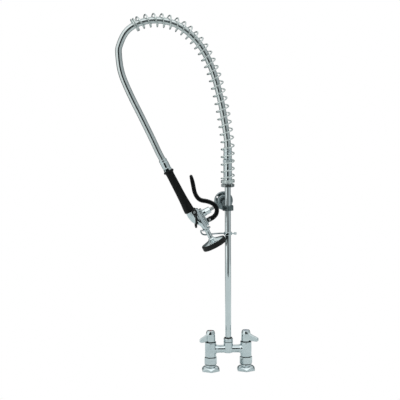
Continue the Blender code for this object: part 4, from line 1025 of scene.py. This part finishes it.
def body_field(p):
    """A cast body: round and full behind, flat towards the bonnet."""
    u, w, s = p[:, 0], p[:, 1], p[:, 2]
    outline = d_polygon(u, s, BODY_OUTLINE)
    # the casting is round across, and narrows towards the neck
    back = np.interp(s, [5.0, 11.0, 18.0, 25.0, 32.0, 38.4, 43.6, 47.6, 52.0, 57.0, 61.0], [-10.3, -10.6, -10.6, -9.4, -6.4, -1.6, 3.6, 6.6, 8.4, 9.0, 9.2])
    wide = (27.2 - back) / 2
    deep = 14.6 - 3.2 * np.clip((s - 38.0) / 24.0, 0, 1) ** 1.4
    x = u - (27.2 + back) / 2
    power = 1.7
    inside = (np.abs(x) / wide) ** power + (np.abs(w) / deep) ** power
    reach = np.maximum(inside, 1e-9) ** (1 / power)
    slope = np.hypot((np.abs(x) / wide) ** (power - 1) / wide, (np.abs(w) / deep) ** (power - 1) / deep) * np.maximum(reach, 1e-3) ** (1 - power)
    body = (reach - 1) / np.maximum(slope, 1e-3)
    body = smax(body, outline - 0.4, 1.6)
    # square up the bonnet face
    face = smax(d_box(p, (15.5, -15.0, 6.0), (24.68, 15.0, 57.0), 1.2), np.abs(w) - 13.9 + 0.24 * (u - 16.0), 1.0)
    body = smin(body, face, 1.5)
    # rounded socket boss where the grip's tube enters
    socket = d_cylinder(p, 12.2, 0.35, 14.0, 1.0)
    body = smin(body, socket, 2.0)
    body = smax(body, np.abs(w) - 14.6, 0.8)
    body = smax(body, -s + 0.33, 0.3)
    body = smax(body, s - 61.98, 0.3)
    body = smax(body, u - 24.7, 0.3)
    body = smax(body, -d_cylinder(p, 8.0, -5.0, 12.0), 0.3)
    chamber = np.stack([p[:, 1], p[:, 2] - PLUNGER_S, p[:, 0]], axis=1)
    body = smax(body, -d_cylinder(chamber, 9.3, 2.0, 40.0), 0.3)
    out = p - (NECK_T, 0, 0)
    body = smax(body, -d_cylinder(out, 4.4, 18.0, 80.0), 0.3)
    pin = np.stack([p[:, 0] - RING_T, p[:, 2] - RING_S, p[:, 1]], axis=1)
    return smax(body, -d_cylinder(pin, 2.4, -40.0, 40.0), 0.3)


use(implicit("valve_casting", body_field, (-10.7, -14.7, 0.2), (24.8, 14.7, 62.1), 0.6, BODY, VALVE), "hand_valve", "valve_body", slot="valve_chrome")

PLATE_OUTLINE = [(25.0, 7.6), (25.0, 55.4), (26.6, 57.0), (30.2, 57.0), (31.8, 55.4), (31.8, 7.6), (30.2, 6.0), (26.6, 6.0)]
LUG_OUTLINE = [(30.0, 36.8), (36.0, 38.0), (41.2, 39.0), (44.2, 41.6), (45.0, 44.6), (43.8, 47.8), (40.8, 49.8), (36.0, 51.0), (30.0, 52.4)]


def plate_field(p):
    plate = d_slab(p, PLATE_OUTLINE, 14.2, 3.1)
    lug = d_slab(p, LUG_OUTLINE, 3.55, 0.8)
    body = smin(plate, lug, 1.4)
    bore = np.stack([p[:, 1], p[:, 2] - PLUNGER_S, p[:, 0]], axis=1)
    body = smax(body, -d_cylinder(bore, 7.5, 10.0, 40.0), 0.3)
    pin = np.stack([p[:, 0] - PIVOT_T, p[:, 2] - PIVOT_S, p[:, 1]], axis=1)
    body = smax(body, -d_cylinder(pin, 2.25, -20.0, 20.0), 0.3)
    # two small screw heads are cut as recesses at the plate's corners
    for s in (10.6, 52.6):
        for w in (-10.0, 10.0):
            q = np.stack([p[:, 1] - w, p[:, 2] - s, p[:, 0]], axis=1)
            body = smax(body, -d_cylinder(q, 1.9, 30.9, 40.0, 0.1), 0.25)
    return body


use(implicit("bonnet_flange", plate_field, (24.9, -14.3, 5.9), (45.1, 14.3, 57.1), 0.5, PLATE, VALVE), "hand_valve", "bonnet_plate", slot="valve_chrome")

BONNET = in_valve(0, 0, PLUNGER_S, ALONG_X)
hex_rows = [53.4, 53.15, 52.9, 52.6, 52.2, 51.8, 51.3, 50.8, 50.2, 44.0, 38.6, 38.2, 37.8, 35.2, 34.8, 32.3]


def cap_radius(r, z, angle):
    if r < 9.0:
        return r
    if z > 50.21:
        return min(hexagon(17.4, angle, 0.3), 8.2 + (53.4 - z) / math.tan(math.radians(32)))
    if z > 38.3:
        return hexagon(17.4, angle, 0.3)
    return 10.05 if z < 37.9 else 9.4


cap_profile = [(10.0, z) for z in hex_rows] + [(10.0, 32.1), (7.2, 32.1), (7.2, 24.2), (4.95, 24.2), (4.95, 52.9), (5.4, 53.4)]
verts, faces = spin(cap_profile, 180, cap_radius)
use(finish_mesh("bonnet_hex_cap", verts, faces, CHROME, BONNET, 24), "hand_valve", "bonnet_cap", slot="valve_chrome")
use(
    lathe("plunger_rod", [(0, 64.2), (2.6, 64.15), (4.0, 63.6, 0.8), (4.6, 62.2, 0.5), (4.6, 21.6), (6.4, 21.6, 0.3), (6.4, 19.4, 0.3), (2.2, 19.4), (2.2, 12.6, 0.4), (0, 12.6)], SMALL, BONNET, 64),
    "plunger", "valve_plunger", slot="small_steel",
)

# ---------------------------------------------------------------- trigger
TRIGGER_LINE = smooth_path(
    [
        (39.5, 0, 44.4), (50.8, 0, 44.3), (61.6, 0, 40.3), (68.2, 0, 33.3), (71.6, 0, 24.0), (70.6, 0, 15.6), (66.4, 0, 7.6), (60.6, 0, 0.4),
        (54.0, 0, -5.8), (46.4, 0, -11.4), (39.9, 0, -18.8), (36.8, 0, -30.2), (37.5, 0, -43.2), (40.6, 0, -55.0), (43.9, 0, -66.0), (46.8, 0, -77.0), (49.0, 0, -86.4),
    ],
    60,
)


def trigger_field(p):
    best = np.full(len(p), 1e18)
    share = np.zeros(len(p))
    n = len(TRIGGER_LINE) - 1
    for i in range(n):
        a, b = TRIGGER_LINE[i], TRIGGER_LINE[i + 1]
        ex, ez = b.x - a.x, b.z - a.z
        wx, wz = p[:, 0] - a.x, p[:, 2] - a.z
        t = np.clip((wx * ex + wz * ez) / (ex * ex + ez * ez), 0, 1)
        d = (wx - ex * t) ** 2 + (wz - ez * t) ** 2
        closer = d < best
        best = np.where(closer, d, best)
        share = np.where(closer, (i + t) / n, share)
    flat = np.sqrt(best)
    thick = 5.95 + 0.6 * np.clip(1 - share / 0.075, 0, 1) - 1.4 * np.clip((share - 0.86) / 0.14, 0, 1) ** 2
    wide = 7.5 - 1.6 * np.clip((share - 0.12) / 0.25, 0, 1) + 1.2 * np.clip((share - 0.62) / 0.3, 0, 1)
    edge = 3.0
    q0, q1 = flat - (thick - edge), np.abs(p[:, 1]) - (wide - edge)
    body = np.hypot(np.maximum(q0, 0), np.maximum(q1, 0)) + np.minimum(np.maximum(q0, q1), 0) - edge
    pad = np.stack([p[:, 1], p[:, 2] - PLUNGER_S, p[:, 0]], axis=1)
    body = smin(body, d_cylinder(pad, 4.4, PLUNGER_T + GAP + 0.05, 74.0, 0.8), 1.5)
    slot_box = d_box(p, (20.0, -4.0, 30.0), (49.8, 4.0, 60.0), 0.6)
    body = smax(body, -slot_box, 0.8)
    pin = np.stack([p[:, 0] - PIVOT_T, p[:, 2] - PIVOT_S, p[:, 1]], axis=1)
    return smax(body, -d_cylinder(pin, 2.25, -20.0, 20.0), 0.4)


use(implicit("trigger_lever", trigger_field, (30.4, -7.7, -92.5), (77.9, 7.7, 51.5), 0.62, COATING, VALVE), "trigger", "trigger", slot="black_coating")


def rivet(name, radius, head, half, thick, look, matrix):
    """A plain pin with a domed, slightly dished head at each end."""
    points = [
        (0, half - 0.35), (head * 0.35, half - 0.3, 0.2), (head * 0.55, half, 0.3), (head * 0.85, half - 0.25, 0.4), (head, half - thick * 0.8, 0.2), (head, half - thick, 0.1), (radius, half - thick),
        (radius, -half + thick), (head, -half + thick, 0.1), (head, -half + thick * 0.8, 0.2), (head * 0.85, -half + 0.25, 0.4), (head * 0.55, -half, 0.3), (head * 0.35, -half + 0.3, 0.2), (0, -half + 0.35),
    ]
    return lathe(name, points, look, matrix, 56)


use(rivet("trigger_rivet", 2.0, 3.0, 8.9, 1.0, SMALL, in_valve(PIVOT_T, 0, PIVOT_S, ALONG_Y)), "hand_valve", "trigger_pin", slot="small_steel")

# ---------------------------------------------------------------- hanging ring
use(rivet("ring_rivet", 2.2, 3.4, 23.4, 1.5, SMALL, in_valve(RING_T, 0, RING_S, ALONG_Y)), "hand_valve", "ring_pin", slot="small_steel")
RING_AT = VALVE @ Vector((RING_T, 0, RING_S))
bail = [(RING_OFFSET, -RING_HALF, -1.0), (RING_OFFSET, -RING_HALF, -14), (RING_OFFSET, -RING_HALF, -RING_DROP + 9)]
for k in range(1, 9):
    angle = math.radians(90 * k / 9)
    bail.append((RING_OFFSET, -RING_HALF + 9 * (1 - math.cos(angle)), -RING_DROP + 9 - 9 * math.sin(angle)))
bail.append((RING_OFFSET, -RING_HALF + 9, -RING_DROP))
bail += [(x, -y, z) for x, y, z in bail[::-1]]


def ring_field(p):
    """One bent wire: a closed eye round the pin at each end and a square loop between them."""
    body = d_path(p, bail, [RING_WIRE_R] * len(bail))
    q = np.stack([p[:, 2], p[:, 0], p[:, 1]], axis=1)
    around = np.hypot(q[:, 0], q[:, 1]) - RING_OFFSET
    for sign in (-1, 1):
        body = smin(body, np.hypot(around, q[:, 2] - sign * RING_HALF) - RING_WIRE_R, 0.8)
    return smax(body, -d_cylinder(q, 2.45, -40.0, 40.0), 0.4)


use(implicit("hanging_bail", ring_field, (-8.3, -21.6, -46.6), (8.3, 21.6, 8.3), 0.5, COATING, at(*RING_AT)), "hanging_ring", "hanging_ring", slot="black_coating")

# ---------------------------------------------------------------- spray head
HEAD = in_valve(NECK_T, 0, 0)
use(
    lathe(
        "spray_stem",
        [
            (4.3, 88.5), (6.1, 88.5, 0.3), (6.45, 87.9, 0.3), (6.4, 71.5, 2.0), (7.6, 68.0, 1.5), (11.2, 66.3, 0.6), (12.4, 65.9, 0.4), (12.7, 65.2, 0.3), (12.7, 63.2, 0.4), (12.0, 62.35, 0.3), (4.3, 62.35),
        ],
        CHROME, HEAD, 96,
    ),
    "hand_valve", "spray_neck", slot="valve_chrome",
)
use(
    lathe(
        "spray_bell",
        [
            (31.5, 111.9), (31.5, 106.6, 0.8), (30.6, 104.5, 1.0), (28.2, 103.3, 2.0), (24.0, 101.8, 3.0), (18.0, 100.0, 4.0), (13.0, 98.5, 2.0), (9.7, 96.5, 1.4), (8.2, 93.9, 0.8),
            (6.9, 92.9, 0.4), (6.55, 91.0, 0.4), (6.5, 89.1, 0.2), (4.3, 89.0), (4.3, 95.7), (9.0, 100.3, 1.0), (17.0, 102.4, 2.0), (26.0, 104.4, 2.0), (29.9, 107.2, 1.0), (29.9, 111.9),
        ],
        CHROME, HEAD, 128,
    ),
    "hand_valve", "spray_dish", slot="valve_chrome",
)
use(
    lathe(
        "bumper_ring",
        [
            (33.9, 119.5, 0.9), (35.5, 117.8, 0.9), (35.5, 113.4, 0.3), (35.1, 112.9, 0.3), (35.1, 112.3, 0.3), (35.5, 111.8, 0.3), (35.5, 106.8, 1.0), (34.3, 104.7, 0.8), (32.1, 104.5, 0.3),
            (31.95, 112.4), (31.95, 114.95, 0.2), (31.1, 119.5, 0.6),
        ],
        BUMPER, HEAD, 160,
    ),
    "hand_valve", "rubber_bumper", slot="black_bumper",
)


def face_field(p):
    r = np.hypot(p[:, 0], p[:, 1])
    body = d_turned(p, [(0, 112.5), (31.5, 112.5), (31.5, 114.0), (30.6, 114.55), (0, 114.55)])
    body = smax(body, -(r - 2.9), 0.2)
    for ring_r, number in ((9.0, 8), (14.0, 12), (19.0, 18), (24.0, 24), (28.2, 28)):
        sector = 2 * math.pi / number
        angle = np.arctan2(p[:, 1], p[:, 0])
        angle = (angle + sector / 2) % sector - sector / 2
        hole = np.hypot(r * np.cos(angle) - ring_r, r * np.sin(angle)) - 0.85
        body = smax(body, -hole, 0.25)
    return body


use(implicit("spray_face", face_field, (-31.6, -31.6, 112.4), (31.6, 31.6, 114.7), 0.42, FACE, HEAD), "hand_valve", "spray_plate", slot="spray_face")


def slotted(r, z, angle):
    return r


use(
    lathe("face_bolt", [(0, 117.3), (2.6, 117.1, 0.8), (4.6, 116.5, 0.6), (5.3, 115.7, 0.3), (5.3, 115.0), (2.3, 115.0), (2.3, 100.0), (0, 100.0)], SMALL, HEAD, 56),
    "hand_valve", "face_screw", slot="small_steel",
)

# ---------------------------------------------------------------- CAD nodes that stay: hidden inner pieces
STAY = {
    "left_cartridge": BRASS, "right_cartridge": BRASS, "left_stem": BRASS, "right_stem": BRASS, "grip_tube": BRASS,
    "left_seat_washer": SEAL, "right_seat_washer": SEAL, "hose_washer": SEAL, "valve_seat_disc": SEAL,
    "left_handle_screw": SMALL, "right_handle_screw": SMALL, "return_spring": WIRE,
}
for name, look in STAY.items():
    mesh = NODES[name].data
    mesh.materials.clear()
    mesh.materials.append(look)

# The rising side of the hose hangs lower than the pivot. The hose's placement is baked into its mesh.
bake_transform(hose)

# ---------------------------------------------------------------- stage
def plane(name, corners, look, camera_sees=True):
    mesh = bpy.data.meshes.new(name)
    mesh.from_pydata(corners, [], [(0, 1, 2, 3)])
    mesh.materials.append(look)
    obj = bpy.data.objects.new(name, mesh)
    scene.collection.objects.link(obj)
    obj.visible_camera = camera_sees
    return obj


def stage_look(name, dark, light, glow, scale):
    made, tree, shader = new_material(name)
    coords = tree.nodes.new("ShaderNodeTexCoord").outputs["Object"]
    tree.links.new(ramp(tree, noise(tree, coords, scale), [(0.3, dark), (0.7, light)]), shader.inputs["Base Color"])
    shader.inputs["Roughness"].default_value = 0.9
    shader.inputs["Specular IOR Level"].default_value = 0.0
    if glow:
        shader.inputs["Emission Color"].default_value = (*light, 1.0)
        shader.inputs["Emission Strength"].default_value = glow
    return made


# the white table is seen in the chrome only: the picture itself is cut out on white
plane("table", [(-1.7, -1.25, 0), (1.7, -1.25, 0), (1.7, 0.75, 0), (-1.7, 0.75, 0)], stage_look("table", (0.80, 0.84, 0.84), (0.86, 0.89, 0.89), 0.0, 1.5), False)

world = bpy.data.worlds.new("studio")
scene.world = world
world.use_nodes = True
tree = world.node_tree
sky = tree.nodes["Background"]
direction = tree.nodes.new("ShaderNodeTexCoord").outputs["Generated"]
split = tree.nodes.new("ShaderNodeSeparateXYZ")
tree.links.new(direction, split.inputs[0])


def math_node(operation, *values):
    made = tree.nodes.new("ShaderNodeMath")
    made.operation = operation
    for socket, value in zip(made.inputs, values):
        if hasattr(value, "is_linked"):
            tree.links.new(value, socket)
        else:
            socket.default_value = value
    return made.outputs[0]


def soft_step(value, start, end):
    """0 before start, 1 after end, in degrees, smooth between; start may be above end."""
    made = tree.nodes.new("ShaderNodeMapRange")
    made.interpolation_type = "SMOOTHSTEP"
    flip = start > end
    made.inputs["From Min"].default_value = min(start, end)
    made.inputs["From Max"].default_value = max(start, end)
    made.inputs["To Min"].default_value = 1.0 if flip else 0.0
    made.inputs["To Max"].default_value = 0.0 if flip else 1.0
    tree.links.new(value, made.inputs["Value"])
    return made.outputs["Result"]


def window(value, low, high, edge):
    return math_node("MULTIPLY", soft_step(value, low - edge, low + edge), soft_step(value, high + edge, high - edge))


# azimuth 0 looks towards the camera's side, positive to the right; elevation 90 is straight up
azimuth = math_node("MULTIPLY", math_node("ARCTAN2", split.outputs["X"], math_node("MULTIPLY", split.outputs["Y"], -1.0)), 57.2958)
elevation = math_node("MULTIPLY", math_node("ARCSINE", split.outputs["Z"]), 57.2958)


def layer(under, mask, colour):
    return mixed(tree, mask, under, colour)


tone = ramp(tree, math_node("MULTIPLY_ADD", elevation, 1 / 180.0, 0.5), [
    (0.0, (0.30, 0.33, 0.33)), (0.42, (0.34, 0.37, 0.37)), (0.49, (0.62, 0.66, 0.66)), (0.56, (0.74, 0.78, 0.78)), (0.72, (0.86, 0.90, 0.90)), (1.0, (0.80, 0.84, 0.84)),
])
# the right side is duller than the left
tone = layer(tone, math_node("MULTIPLY", window(azimuth, 20, 118, 10), window(elevation, -50, 35, 10)), (0.50, 0.54, 0.55))
# large softbox on the left, in front
tone = layer(tone, math_node("MULTIPLY", window(azimuth, -98, -27, 4), window(elevation, -28, 52, 8)), (1.02, 1.06, 1.05))
# strip light high in front
tone = layer(tone, math_node("MULTIPLY", window(azimuth, -75, 75, 12), window(elevation, 38, 68, 5)), (1.45, 1.48, 1.48))
# the dark room behind the faucet, to both sides of the backdrop
tone = layer(tone, math_node("MULTIPLY", soft_step(math_node("ABSOLUTE", azimuth), 112, 126), window(elevation, -60, 26, 9)), (0.12, 0.14, 0.14))
# the dark room round the camera
tone = layer(tone, math_node("MULTIPLY", window(azimuth, -27, 20, 2.5), window(elevation, -80, 31, 3)), (0.012, 0.018, 0.018))
light_path = tree.nodes.new("ShaderNodeLightPath")
final = mixed(tree, light_path.outputs["Is Camera Ray"], tone, (1.0, 1.0, 1.0))
tree.links.new(final, sky.inputs["Color"])
sky.inputs["Strength"].default_value = 1.0
